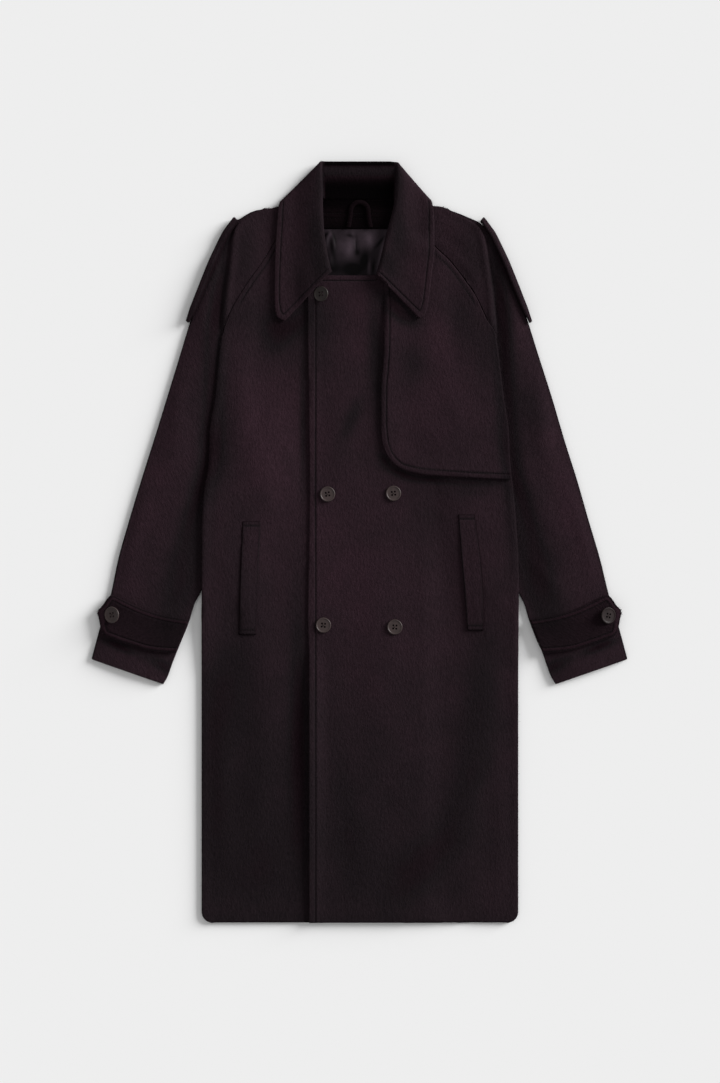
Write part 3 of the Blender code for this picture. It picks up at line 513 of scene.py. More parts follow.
def folds(table, x, y):
    """The height of some listed folds at (x, y)."""
    total = np.zeros(np.shape(x))
    for x0, y0, x1, y1, spread, height in table:
        length = math.hypot(x1 - x0, y1 - y0)
        along = ((x - x0) * (x1 - x0) + (y - y0) * (y1 - y0)) / length ** 2
        across = ((x - x0) * (y1 - y0) - (y - y0) * (x1 - x0)) / length
        wander = 0.35 * spread * np.sin(5.1 * along + x0)
        end = np.sin(math.pi * np.clip(0.5 + (along - 0.5) * 0.8, 0.0, 1.0)) ** 1.5
        total += height * bump(across - wander, spread) * end
    return total


def body_edge(side, y):
    return BODY_EDGE.curve(side, np.minimum(y, FRONT_CORNER))


def reach(table, x, y):
    """How far out a table's edge lies on the side where x is."""
    return np.where(x < 0, -table.curve("west", y), table.curve("east", y))


def body_rise(x, y):
    """How far the body's cloth stands above its solid; nothing at the side seams and the hem."""
    edge = reach(BODY_EDGE, x, np.minimum(y, FRONT_CORNER))
    fade = smooth(4, 40, edge - np.abs(x)) * smooth(HEM, HEM + 30, y) * (1.0 - smooth(330, 420, y))
    return fade * np.maximum(folds(BODY_FOLDS, x, y), 0.0)


def sleeve_rise(x, y):
    inner, outer = reach(ARM_SEAM, x, y), reach(ARM_EDGE, x, y)
    fade = smooth(4, 26, np.abs(x) - inner) * smooth(2, 22, outer - np.abs(x)) * (1.0 - smooth(440, 520, y))
    return fade * np.maximum(folds(SLEEVE_FOLDS, np.abs(x), y), 0.0)


def shade_at(x, y, table=SHADES, least=0.2, most=1.5):
    """Soft patches of painted shade and light, and of the nap's own tone, listed in a table."""
    total = np.ones(np.shape(x))
    for middle_x, middle_y, reach_x, reach_y, turn, amount in table:
        angle = math.radians(turn)
        u = (x - middle_x) * math.cos(angle) + (y - middle_y) * math.sin(angle)
        v = (y - middle_y) * math.cos(angle) - (x - middle_x) * math.sin(angle)
        total *= 1.0 + amount * np.exp(-(u / reach_x) ** 2 - (v / reach_y) ** 2)
    return np.clip(total, least, most)


def sewn_shade(grid, lines, dark=SEWN_DARK, width=SEWN_WIDTH, table=SHADES):
    """The patches of painted shade and lightness, with painted shade where stitching pinches the cloth."""
    shade = shade_at(grid[..., 0], grid[..., 1], table)
    for line in lines:
        line = np.asarray(line, dtype=float)[:, :2]
        shade *= 1.0 - dark * bump(distance_to(line, grid[..., 0], grid[..., 1]), width)
    return shade


def body_shade(grid, lines, seam_line):
    """The cloth's painted shade: its patches, the stitching, a shallower line beside the raglan seam, and a
    dark rim painted along the hem.
    """
    shade = sewn_shade(grid, lines) * sewn_shade(grid, (seam_line,), SEAM_DARK, SEAM_WIDTH, ())
    return shade * sewn_shade(grid, (HEM_LINE,), RIM_DARK, RIM_WIDTH, ())


def places(length, step=STEP, start=PLAIN, end=PLAIN):
    """An odd number of places along a length, close together near its ends, as shares of it."""
    low = np.array(start)
    high = length - np.array(end)[::-1]
    count = max(2, int(round((high[0] - low[-1]) / step)))
    count += (len(low) + len(high) + count - 1) % 2 == 0
    middle = np.linspace(low[-1], high[0], count + 1)[1:-1]
    return np.concatenate((low, middle, high)) / length


def between(start, end, *layout):
    """Places from one height to another, close together near both."""
    return start + places(abs(end - start), *layout) * (end - start)


def ruled(y, west, east, shares):
    """A plan whose rows run straight across from one edge to the other."""
    x = west[:, None] + (east - west)[:, None] * shares[None]
    return np.stack((x, np.broadcast_to(y[:, None], x.shape)), axis=-1)


def distance_to(path, x, y):
    """How far each (x, y) is from a path in plan."""
    path = np.asarray(path, dtype=float)
    best = np.full(np.shape(x), np.inf)
    for (x0, y0), (x1, y1) in zip(path[:-1], path[1:]):
        length = (x1 - x0) ** 2 + (y1 - y0) ** 2
        share = np.clip(((x - x0) * (x1 - x0) + (y - y0) * (y1 - y0)) / max(length, 1e-9), 0.0, 1.0)
        best = np.minimum(best, np.hypot(x - x0 - share * (x1 - x0), y - y0 - share * (y1 - y0)))
    return best


def inset(path, distance):
    """A path moved to its left in plan."""
    path = np.asarray(path, dtype=float)
    way = np.gradient(path, axis=0)
    way /= np.linalg.norm(way, axis=1)[:, None]
    return path + distance * np.stack((-way[:, 1], way[:, 0]), axis=1)


def even(path, pitch):
    """Points a pitch apart along a path, with the way it goes at each."""
    path = np.asarray(path, dtype=float)
    run = np.concatenate(([0.0], np.cumsum(np.linalg.norm(np.diff(path, axis=0), axis=1))))
    at = np.arange(0.5 * pitch, run[-1], pitch)
    points, ahead, behind = (np.stack([np.interp(at + shift, run, column) for column in path.T], axis=1)
                             for shift in (0.0, 0.5, -0.5))
    way = ahead - behind
    return points, way / np.maximum(np.linalg.norm(way, axis=1), 1e-9)[:, None]


def grooved(grid, paths, depth=GROOVE_DEPTH, width=GROOVE_WIDTH):
    """Press lines of stitching into a sheet."""
    for path in paths:
        away = distance_to(path, grid[..., 0], grid[..., 1])
        grid[..., 2] -= depth * bump(away, width)
        grid[..., 2] += RIM_PUFF * bump(away - 2.6 * width, 1.8 * width)
    return grid


def added(name, data):
    thing = bpy.data.objects.new(name, data)
    bpy.context.scene.collection.objects.link(thing)
    return thing


def mesh_of(name, points, faces):
    """A mesh in metres from points in millimetres."""
    mesh = bpy.data.meshes.new(name)
    mesh.from_pydata((np.asarray(points) * MM).tolist(), [], faces)
    mesh.update()
    return mesh


def link(name, points, faces, material, shade=None, smoothed=True):
    """Make a mesh from points in millimetres and let it ride on the coat's one body."""
    mesh = mesh_of(name, points, faces)
    if smoothed:
        mesh.shade_smooth()
    values = np.ones(len(points)) if shade is None else shade
    mesh.attributes.new("shade", "FLOAT", "POINT").data.foreach_set("value", values)
    mesh.materials.append(material)
    thing = added(name, mesh)
    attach(thing, ROOT)
    return thing


def unit(vectors):
    return vectors / np.maximum(np.linalg.norm(vectors, axis=-1), 1e-9)[..., None]


def normals_of(grid):
    return unit(np.cross(np.gradient(grid, axis=1), np.gradient(grid, axis=0)))


def loop_of(rows, columns):
    """The border of a grid as (row, column), all the way round."""
    top = [(0, k) for k in range(columns - 1)]
    right = [(k, columns - 1) for k in range(rows - 1)]
    low = [(rows - 1, k) for k in range(columns - 1, 0, -1)]
    left = [(k, 0) for k in range(rows - 1, 0, -1)]
    return top + right + low + left


def quads(rows, columns, start):
    corner = [start + row * columns + k for row in range(rows - 1) for k in range(columns - 1)]
    return [(k, k + columns, k + columns + 1, k + 1) for k in corner]


def upward_volume(points, faces):
    """A signed volume: positive when the faces look outwards."""
    points = np.asarray(points)
    total = 0.0
    for face in faces:
        a = points[face[0]]
        for k in range(1, len(face) - 1):
            total += np.dot(a, np.cross(points[face[k]], points[face[k + 1]]))
    return total


def shell(node, middle, wall, material, shade=None):
    """A closed sheet round a grid of its middle points, its edges rounded, in place of a solid."""
    grid = np.array(middle, dtype=float)
    rows, columns = grid.shape[:2]
    wall = np.broadcast_to(np.asarray(wall, dtype=float), (rows, columns))
    normal = normals_of(grid)
    if normal[..., 2].mean() < 0:
        normal = -normal
    full = grid.copy()
    for border, next_row in ((0, 1), (-1, -2)):
        grid[:, border] += unit(full[:, next_row] - full[:, border]) * wall[:, border, None] / 2
        grid[border] += unit(full[next_row] - full[border]) * wall[border, :, None] / 2
    ring = loop_of(rows, columns)
    r, c = np.array(ring).T
    outward = unit(full[r, c] - grid[r, c])
    half = wall[r, c, None] / 2
    top = grid + normal * wall[..., None] / 2
    under = (grid - normal * wall[..., None] / 2)[::2, ::2]
    rims = [grid[r, c] + half * (normal[r, c] * math.sin(turn) + outward * math.cos(turn))
            for turn in (math.pi / 4, 0.0, -math.pi / 4)]
    points = np.concatenate((top.reshape(-1, 3), *rims, under.reshape(-1, 3)))
    faces = quads(rows, columns, 0)
    size, count = rows * columns, len(ring)
    rings = [[int(k) for k in r * columns + c]]
    rings += [list(range(size + k * count, size + (k + 1) * count)) for k in range(3)]
    for inner, outer in zip(rings[:-1], rings[1:]):
        faces += [(inner[k - 1], inner[k], outer[k], outer[k - 1]) for k in range(count)]
    low_rows, low_columns = under.shape[:2]
    base = size + 3 * count
    faces += [face[::-1] for face in quads(low_rows, low_columns, base)]
    low = [base + a * low_columns + b for a, b in loop_of(low_rows, low_columns)]
    rim = rings[-1]
    for k in range(len(low)):
        second = 2 * k + 2
        faces.append((low[k], rim[2 * k], rim[2 * k + 1], rim[second % count], low[(k + 1) % len(low)]))
    if upward_volume(points, faces) < 0:
        faces = [face[::-1] for face in faces]
    if shade is None:
        shade = shade_at(full[..., 0], full[..., 1])
    shade = np.broadcast_to(shade, (rows, columns))
    values = np.concatenate((shade.ravel(), *[shade[r, c]] * 3, shade[::2, ::2].ravel()))
    thing = link("cloth_" + node, points, faces, material, values)
    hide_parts(node)
    return thing


class Paint:
    """A material whose nodes are added one at a time, each with its wires and its values."""

    def __init__(self, name, roughness, specular):
        self.material = bpy.data.materials.new(name)
        self.material.use_nodes = True
        self.nodes, self.links = self.material.node_tree.nodes, self.material.node_tree.links
        self.shader = self.nodes["Principled BSDF"]
        self.shader.inputs["Roughness"].default_value = roughness
        self.shader.inputs["Specular IOR Level"].default_value = specular
        self.plain = self.add("TexCoord", {}, {}, "Object")

    def add(self, kind, wires, values, out=0, operation=None):
        """Add a node and give back one of its outputs."""
        node = self.nodes.new("ShaderNode" + kind)
        if operation is not None:
            node.operation = operation
        for key, value in values.items():
            node.inputs[key].default_value = value
        for key, socket in wires.items():
            self.links.new(socket, node.inputs[key])
        return node.outputs[out]

    def along(self, stretch, turn):
        """Object coordinates, turned about Z and stretched, so that fibres follow the nap."""
        turned_there = self.add("Mapping", {"Vector": self.plain},
                                {"Rotation": (0.0, 0.0, math.radians(turn))}, "Vector")
        return self.add("Mapping", {"Vector": turned_there}, {"Scale": stretch}, "Vector")

    def noise(self, where, scale, detail, roughness=0.6):
        return self.add("TexNoise", {"Vector": where},
                        {"Scale": scale, "Detail": detail, "Roughness": roughness}, "Fac")

    def ranged(self, value, low, high, start=NOISE_LOW, end=NOISE_HIGH):
        """Turn a value that runs from start to end into one from low to high."""
        return self.add("MapRange", {"Value": value},
                        {"From Min": start, "From Max": end, "To Min": low, "To Max": high}, "Result")

    def product(self, *values):
        total = values[0]
        for value in values[1:]:
            total = self.add("Math", {0: total, 1: value}, {}, operation="MULTIPLY")
        return total

    def mark(self):
        """The painted shade and tone that a piece's points carry."""
        node = self.nodes.new("ShaderNodeAttribute")
        node.attribute_name = "shade"
        return node.outputs["Fac"]

    def tint(self, colour, lightness, second=None, share=None):
        """Multiply a colour, or a blend of two, by a value and give it to the shader."""
        wires = {"Scale": lightness}
        if second is not None:
            way = [b - a for a, b in zip(colour, second)]
            wires[0] = self.add("VectorMath", {0: share}, {1: way, 2: colour}, operation="MULTIPLY_ADD")
        scaled = self.add("VectorMath", wires, {0: colour}, operation="SCALE")
        self.links.new(scaled, self.shader.inputs["Base Color"])

    def bumped(self, height, strength, distance):
        """Roughen the surface, and give back the finished material."""
        normal = self.add("Bump", {"Height": height}, {"Strength": strength, "Distance": distance}, "Normal")
        self.links.new(normal, self.shader.inputs["Normal"])
        return self.material


def wool(name, turn=0.0, lightness=1.0):
    """Brushed wool: short fibres along the nap, soft clouds in it, and a faint sheen; its lightness follows
    each piece's painted shade, its hue warmer in lighter patches and in deep painted shade.
    """
    paint = Paint(name, 0.95, 0.02)
    for key, value in WOOL_SHEEN.items():
        paint.shader.inputs["Sheen " + key].default_value = value
    nap = paint.along((1.0, 0.42, 1.0), turn)
    fibre, tuft = paint.noise(nap, 700.0, 3.0, 0.7), paint.noise(nap, 260.0, 2.0)
    cloud = paint.noise(paint.plain, 15.0, 3.0)
    patch = paint.product(paint.ranged(cloud, 0.92, 1.07), paint.mark())
    light = paint.product(paint.ranged(fibre, 0.68, 1.32), paint.ranged(tuft, 0.88, 1.12), patch)
    # The hue warms both in lighter patches and in deep painted shade
    bright, deep = paint.ranged(patch, 0.0, 1.0, 0.72, 1.12), paint.ranged(patch, 0.0, 1.0, 0.66, 0.42)
    warm = paint.add("Math", {0: bright, 1: deep}, {}, operation="MAXIMUM")
    cool_colour, warm_colour = ([lightness * part for part in colour] for colour in (WOOL_COOL, WOOL_WARM))
    paint.tint(cool_colour, light, warm_colour, warm)
    both = paint.add("Math", {0: tuft, 2: fibre}, {1: 1.4}, operation="MULTIPLY_ADD")
    return paint.bumped(both, 0.75, 0.0011)


def satin():
    paint = Paint("lining_satin", 0.46, 0.05)
    weft = paint.noise(paint.along((1.0, 0.25, 1.0), 4.0), 1500.0, 1.0)
    cloud = paint.noise(paint.plain, 60.0, 2.0)
    # The lightness carries the painted highlights and shade of the creases
    light = paint.product(paint.ranged(weft, 0.88, 1.12), paint.ranged(cloud, 0.85, 1.15), paint.mark())
    paint.tint(SATIN_COLOUR, light)
    return paint.bumped(weft, 0.15, 0.0002)


def horn(name, colour, gloss=0.28):
    paint = Paint(name, 0.42, gloss)
    cloud = paint.noise(paint.along((1.0, 0.5, 1.0), 30.0), 160.0, 4.0)
    grain = paint.noise(paint.plain, 900.0, 2.0)
    paint.tint(colour, paint.product(paint.ranged(cloud, 0.78, 1.22), paint.ranged(grain, 0.94, 1.06)))
    return paint.bumped(grain, 0.12, 0.0002)


def thread(name, colour):
    paint = Paint(name, 0.8, 0.08)
    twist = paint.noise(paint.plain, 2200.0, 1.0)
    paint.tint(colour, paint.ranged(twist, 0.75, 1.25))
    return paint.bumped(twist, 0.4, 0.0002)


def floor_paint():
    paint = Paint("floor_matt", 0.95, 0.0)
    paint.tint(FLOOR_COLOUR, paint.ranged(paint.noise(paint.plain, 400.0, 2.0), 0.997, 1.003))
    return paint.material


# The wool's two hues: the warm one for lighter patches and for deep painted shade, the cool one between
WOOL_WARM = (0.0212, 0.0110, 0.0150)
WOOL_COOL = (0.0152, 0.0109, 0.0130)
WOOL_SHEEN = {"Weight": 0.008, "Roughness": 0.5, "Tint": (0.62, 0.42, 0.48, 1.0)}
SATIN_COLOUR = (0.029, 0.0205, 0.0260)
HORN_COLOUR = (0.037, 0.025, 0.024)
# Darker copies of the horn: painted shade for the top button under the collar, and for the left cuff button,
# which faces the key light
SHADED_HORN_COLOUR = (0.0180, 0.0128, 0.0117)
LIT_HORN_COLOUR = (0.017, 0.0118, 0.0118)
THREAD_COLOUR = (0.0042, 0.0028, 0.0034)
BUTTON_THREAD = (0.036, 0.024, 0.023)
HAIR_COLOUR = (0.022, 0.013, 0.017)
FLOOR_COLOUR = (0.86, 0.86, 0.86)

WOOL_BODY = wool("wool_body")
WOOL_COLLAR = wool("wool_collar", 0.0, 0.92)
WOOL_SLEEVE = {"west": wool("wool_sleeve_right", -17.0), "east": wool("wool_sleeve_left", 17.0)}
WOOL_TRIM = wool("wool_trim", 0.0, 0.96)
WOOL_STRAP = {"west": wool("wool_strap_right", 60.0, 0.54), "east": wool("wool_strap_left", -60.0, 0.54)}
# A darker copy of the wool: painted shade for the facing and the hanger loop inside the neck
WOOL_FACING_SHADED = wool("wool_facing_shaded", 90.0, 0.62)
SATIN = satin()
HORN = horn("button_horn", HORN_COLOUR)
# Buttons that take the horn's darker copies, painted shade
HORNS = {"button_top": horn("button_horn_shaded", SHADED_HORN_COLOUR),
         "cuff_button_left": horn("button_horn_lit", LIT_HORN_COLOUR, 0.10)}
THREAD = thread("sewing_thread", THREAD_COLOUR)
SHANK = thread("button_thread", BUTTON_THREAD)
HAIR = thread("wool_hair", HAIR_COLOUR)

SIDES = (("west", "right", -1.0), ("east", "left", 1.0))


def raglan(side):
    """The raglan seam as a dense path from the neck down to the front's corner."""
    y = np.linspace(534.0, 355.0, 70)
    corner = (float(BODY_EDGE.curve(side, FRONT_CORNER)), FRONT_CORNER)
    return np.concatenate((np.stack((ARM_SEAM.curve(side, y), y), axis=1), [corner]))


def hung(top, low, west, east, columns, rows):
    """A plan whose columns start along a top line and run down to a lower one, between two edges."""
    top = np.asarray(top)
    x_top = top[0, 0] + columns * (top[-1, 0] - top[0, 0])
    y_top = np.interp(x_top, top[:, 0], top[:, 1])
    y = y_top[None] + (low - y_top)[None] * rows[:, None]
    left, right = west(y), east(y)
    return np.stack((left + (right - left) * columns[None], y), axis=-1)


def laid(plan, ground, wall, rise, times=3):
    """Middle points of a sheet whose top lies where the solid's top is, raised by its folds."""
    x, y = plan[..., 0], plan[..., 1]
    z = softened(filled(ground.top(x, y)), times)
    return np.dstack((plan, z - wall / 2 + rise))


def shown(line):
    """The part of a line of stitching that stands out of the nap."""
    return line[line[:, 1] > SEAM_SHOWS]


def front_plan(top, west, east, start):
    """A front in plan, from its top line to the hem."""
    columns = places(top[-1, 0] - top[0, 0], STEP, start, PLAIN)
    rows = places(FRONT_CORNER - HEM + 100, STEP, NECKLINE, PLAIN)
    return hung(top, HEM, west, east, columns, rows)


def over_lap():
    plan = front_plan(np.concatenate((OVERLAP_NECK, raglan("east"))), lambda y: LAP_EDGE.curve("x", y),
                      lambda y: body_edge("east", y), LAP_STITCHED)
    x, y = plan[..., 0], plan[..., 1]
    lift = LAP_LIFT.curve("height", y) * (1.0 - smooth(0.0, LAP_REACH, x - LAP_EDGE.curve("x", y)))
    grid = laid(plan, solids("front_left"), CLOTH, body_rise(x, y) + lift)
    front_line = np.array(((LAP_STITCH, 450.0), (LAP_STITCH, HEM)))
    neck_line = np.array([(x, y - STITCH_INSET) for x, y in OVERLAP_NECK[:5]])
    seam_line = shown(inset(raglan("east"), -SEAM_STITCH))
    grid = side_puff(grooved(grid, (front_line, neck_line, seam_line)), "east")
    shade = body_shade(grid, (front_line, neck_line), seam_line)
    return shell("front_left", grid, CLOTH, WOOL_BODY, shade), (front_line, neck_line, seam_line)


def under_lap():
    plan = front_plan(np.concatenate((raglan("west")[::-1], UNDERLAP_NECK)), lambda y: body_edge("west", y),
                      lambda y: np.full_like(y, UNDERLAP_EDGE), PLAIN)
    x, y = plan[..., 0], plan[..., 1]
    hidden = smooth(-92.0, -84.0, x)
    grid = laid(plan, solids("front_right"), CLOTH, body_rise(x, y) * (1.0 - hidden))
    seam_line = shown(inset(raglan("west"), SEAM_STITCH))
    grid = side_puff(grooved(grid, (seam_line,)), "west")
    return shell("front_right", grid, CLOTH, WOOL_BODY, body_shade(grid, (), seam_line)), (seam_line,)


def side_puff(grid, side):
    """The rounded roll of cloth along the armhole fold and the side seam."""
    x, y = grid[..., 0], grid[..., 1]
    away = np.abs(body_edge(side, y) - x)
    below = 1.0 - smooth(FRONT_CORNER - 10, FRONT_CORNER + 15, y)
    grid[..., 2] += 1.3 * bump(away - 6.5, 5.5) * below * (0.4 + 0.6 * smooth(-80, 60, y))
    return grid


def sleeve(side, name, outward):
    """The front half of a sleeve: the shoulder, the armhole fold with its groove, and the arm."""
    y_in = between(SHOULDER_TOP, CUFF_LOW, STEP, PLAIN, CUFF_END)
    y_out = SLEEVE_SLANT.curve("outer", y_in)
    seam = ARM_SEAM.curve(side, y_in) + outward * SEAM * (y_in > UNDERARM)
    fold = ARM_FOLD.curve(side, 0.5 * (y_in + y_out))
    edge = ARM_EDGE.curve(side, y_out)
    inner = places(72.0, STEP, PLAIN, FOLDED)
    outer = places(92.0, STEP, FOLDED, PLAIN)[1:]
    x = np.concatenate((seam[:, None] + (fold - seam)[:, None] * inner[None],
                        fold[:, None] + (edge - fold)[:, None] * outer[None]), axis=1)
    share = (x - seam[:, None]) / (edge - seam)[:, None]
    y = y_in[:, None] + (y_out - y_in)[:, None] * share
    plan = np.stack((x, y), axis=-1)
    grid = laid(plan, solids("sleeve_front_" + name), CLOTH, sleeve_rise(x, y), 2)
    off = outward * (x - ARM_FOLD.curve(side, y)) - FOLD_SHIFT * smooth(350, 430, y)
    folded = smooth(338, 372, y) * (1.0 - smooth(505, 552, y))
    grid[..., 2] += folded * (2.0 * bump(off + 5.0, 6.0) * (off < 0) + 2.0 * bump(5.0, 6.0) * (off >= 0) *
                              bump(off, 1.2) - 0.6 * bump(off - 3.0, 4.5) * (off > 0))
    wall = CLOTH - (CLOTH - FOLD_WALL) * folded * bump(off - 1.0, 5.0)
    grid[..., 2] = np.maximum(grid[..., 2], CLOTH + CLEAR + wall / 2)
    grid[..., 1] += SHOULDER_LIFT.curve(side, np.abs(x)) * smooth(535, 562, y)
    # Painted shade: the patches, and a dark rim along the sleeve's outer edge where the cloth turns under
    shade = shade_at(x, y) * (1.0 - RIM_DARK * bump(edge[:, None] - x, RIM_WIDTH))
    return shell("sleeve_front_" + name, grid, wall, WOOL_SLEEVE[side], shade)


def sleeve_back(side, name, outward):
    y_in = between(REAR_SHOULDER_TOP, CUFF_LOW, REAR_SLEEVE_STEP)
    y_out = SLEEVE_SLANT.curve("outer", y_in)
    seam = np.where(y_in > UNDERARM, BACK_EDGE.curve(side, y_in), ARM_SEAM.curve(side, y_in)) + outward * SEAM
    edge = ARM_EDGE.curve(side, y_out)
    x = seam[:, None] + (edge - seam)[:, None] * places(130.0, REAR_SLEEVE_STEP)[None]
    share = (x - seam[:, None]) / (edge - seam)[:, None]
    plan = np.stack((x, y_in[:, None] + (y_out - y_in)[:, None] * share), axis=-1)
    grid = np.dstack((plan, np.full(x.shape, CLOTH / 2)))
    return shell("sleeve_back_" + name, grid, CLOTH, WOOL_SLEEVE[side])


def back():
    y = between(BACK_TOP, HEM, REAR_STEP)
    plan = ruled(y, BACK_EDGE.curve("west", y), BACK_EDGE.curve("east", y), places(500.0, REAR_STEP))
    return shell("back", laid(plan, solids("back"), CLOTH, 0.0, 1), CLOTH, WOOL_BODY)


def collar_section(relief, row, leaf, bow, stand):
    """One section of the collar: along the leaf, round the roll and back along the stand."""
    edge, roll, neck, over = np.array(row[0:2]), np.array(row[2:4]), np.array(row[4:6]), row[6]
    half = COLLAR_WALL / 2
    leaf_way, neck_way = unit(roll - edge), unit(neck - roll)
    leaf_end, neck_start = roll - leaf_way * ROLL_BEND, roll + neck_way * ROLL_BEND
    rest = float(relief.at(*neck)) + CLEAR + half
    crest = rest + ROLL_BOW
    length = np.linalg.norm(leaf_end - edge)
    points = []
    for share in leaf:
        x, y = edge + (leaf_end - edge) * share
        on_top = float(relief.at(x, y)) + CLEAR + half
        on_top += (crest - on_top) * float(smooth(LEAF_RISE, 1.0, share))
        on_top += 0.5 * (1.0 - math.exp(-share * length / 7.0)) + LEAF_LIFT * math.exp(-share * length / 22.0)
        points.append((x, y, on_top * over + half * (1 - over)))
    z_leaf = points[-1][2]
    z_neck = rest * over + STAND_HEIGHT * (1 - over)
    bow_end = 2 * roll - 0.5 * (leaf_end + neck_start)
    for share in bow:
        plan = leaf_end * (1 - share) ** 2 + 2 * bow_end * share * (1 - share) + neck_start * share ** 2
        points.append((*plan, z_leaf + (z_neck - z_leaf) * (1 - math.cos(math.pi * share)) / 2))
    low = COLLAR_WALL + CLEAR + half
    for share in stand:
        x, y = neck_start + (neck - neck_start) * share
        under = STAND_HEIGHT + (low - STAND_HEIGHT) * float(smooth(0.0, 0.8, share))
        points.append((x, y, rest * over + under * (1 - over)))
    return points


def collar():
    names = ("front_left", "front_right", "sleeve_front_left", "sleeve_front_right", "storm_flap")
    relief = Relief(solids(*names), (-150, 360), (140, 620), 5.0, 2, 8)
    inner = np.arange(1.3, LAST_STATION - 1.29, 0.105)
    stations = np.concatenate((FRONT_STATIONS, inner, LAST_STATION - np.array(FRONT_STATIONS)[::-1]))
    if len(stations) % 2 == 0:
        stations = np.delete(stations, len(stations) // 2)
    rows = np.stack([COLLAR.curve(name, stations) for name in COLLAR.columns[1:]], axis=1)
    leaf = places(92.0, STEP, STITCHED, PLAIN)
    bow = np.linspace(0.0, 1.0, 9)[1:-1]
    stand = np.linspace(0.0, 1.0, 11)
    grid = np.array([collar_section(relief, row, leaf, bow, stand) for row in rows])
    return grid, stations, len(leaf)


def collar_shade(grid, stations, leaf_count, leaf_lines):
    """The collar's painted shade: its patches, the stitching, and the deep shade painted on the stand inside
    the neck.
    """
    y = grid[..., 1]
    shade = sewn_shade(grid, leaf_lines, table=COLLAR_SHADES)
    inside = np.arange(grid.shape[1]) >= leaf_count
    rear = smooth(8.2, 9.0, stations) * (1.0 - smooth(15.0, 15.8, stations))
    mix = rear[:, None] * inside[None]
    deep = STAND_SHADE.curve("light", y) * shade_at(grid[..., 0], y, STAND_PATCHES)
    return shade * (1.0 - mix) + deep * mix


def collar_paths(grid, stations, leaf_count):
    """The stitching round each leaf: along its front edge, round the tip and along its outer edge."""
    outer = np.linalg.norm(grid[:, :leaf_count, :2] - grid[:, :1, :2], axis=2)
    paths = []
    for first, last in ((STITCH_STATION, LEAF_STITCH_END),
                        (LAST_STATION - STITCH_STATION, LAST_STATION - LEAF_STITCH_END)):
        front = int(np.argmin(np.abs(stations - first)))
        line = grid[front, :leaf_count]
        line = line[outer[front] >= COLLAR_INSET][::-1]
        way = 1 if last > first else -1
        stop = int(np.argmin(np.abs(stations - last)))
        side = [[np.interp(COLLAR_INSET, outer[k], grid[k, :leaf_count, axis]) for axis in range(3)]
                for k in range(front, stop, way)]
        paths.append(np.concatenate((line, side)))
    return paths


def storm_flap():
    """The flap on the left chest, its free edges turned and stitched."""
    y_seam = np.linspace(507.0, 355.0, 60)
    seam = np.stack((ARM_SEAM.curve("east", y_seam), y_seam), axis=1) - FLAP_INSET
    corner = (float(BODY_EDGE.curve("east", FRONT_CORNER)) - FLAP_INSET, FRONT_CORNER - FLAP_INSET)
    columns = places(190.0, 3.2, STITCHED, PLAIN)
    low = FLAP_LOWER.curve("y", FLAP_LOWER.rows[0, 0] + columns * np.ptp(FLAP_LOWER.rows[:, 0]))
    plan = hung(np.concatenate((FLAP_TOP, seam, [corner])), low, lambda y: FLAP_SIDE.curve("x", y),
                lambda y: body_edge("east", y) - FLAP_INSET, columns, places(240.0, 3.2, PLAIN, STITCHED))
    x, y = plan[..., 0], plan[..., 1]
    grid = laid(plan, solids("storm_flap"), CLOTH, body_rise(x, y), 4)
    border = np.concatenate((plan[:, 0], plan[-1, 1:]))
    line = inset(even(border, 3.0)[0], STITCH_INSET)
    away = distance_to(border, x, y)
    lift = 1.8 * (1.0 - smooth(8, 46, away)) + 0.5 * smooth(0, 6, away)
    grid[..., 2] += lift * (1.0 - smooth(385, 430, y))
    seam_line = shown(inset(seam[::2], -SEAM_STITCH))
    grid = grooved(grid, (line, seam_line))
    shade = body_shade(grid, (line,), seam_line)
    return shell("storm_flap", grid, CLOTH, WOOL_BODY, shade), (line, seam_line)


def welt(name):
    """An upright welt: stitched across both ends, a little open along its outer edge."""
    table = WELTS[name]
    low, high = table.rows[0, 0], table.rows[-1, 0]
    y = between(low, high, 3.0)
    outer, inner = table.curve("outer", y), table.curve("inner", y)
    plan = ruled(y, outer, inner, places(30.0, 2.4))
    x = plan[..., 0]
    grid = laid(plan, solids("pocket_welt_" + name), STRAP_WALL, body_rise(x, plan[..., 1]), 3)
    across = np.abs(x - outer[:, None])
    held = smooth(0, 30, y - low) * smooth(0, 30, high - y)
    grid[..., 2] -= WELT_DROP + WELT_SINK * (1.0 - held[:, None] * (1.0 - smooth(6, 27, across)))
    lines = [[(float(table.curve(edge, height)), height) for edge in ("outer", "inner")]
             for height in WELT_STITCHES[name]]
    grid = grooved(grid, lines)
    # Painted shade: in the open mouth along the outer edge, along the inner rim, which the key light would
    # catch, and at both ends
    shade = sewn_shade(grid, lines) * (1.0 - WELT_MOUTH_DARK * bump(across, 2.0))
    shade *= 1.0 - RIM_DARK * bump(np.abs(x - inner[:, None]), RIM_WIDTH)
    shade *= 1.0 - WELT_END_DARK * bump(np.minimum(y - low, high - y)[:, None], RIM_WIDTH)
    return shell("pocket_welt_" + name, grid, STRAP_WALL, WOOL_TRIM, shade), lines


def facing():
    y = between(FACING.rows[0, 0], FACING.rows[-1, 0], 2.4)
    plan = ruled(y, FACING.curve("west", y), FACING.curve("east", y), places(125.0, 3.0))
    lines = [[(-66.0, height), (58.0, height)] for height in FACING_STITCHES]
    grid = grooved(laid(plan, solids("back_neck_facing"), FACING_WALL + 0.4, 0.0), lines)
    # Painted shade: the facing lies deep inside the neck
    shade = FACING_SHADE.curve("light", plan[..., 1]) * sewn_shade(grid, lines, table=FACING_PATCHES)
    return shell("back_neck_facing", grid, FACING_WALL, WOOL_FACING_SHADED, shade), lines


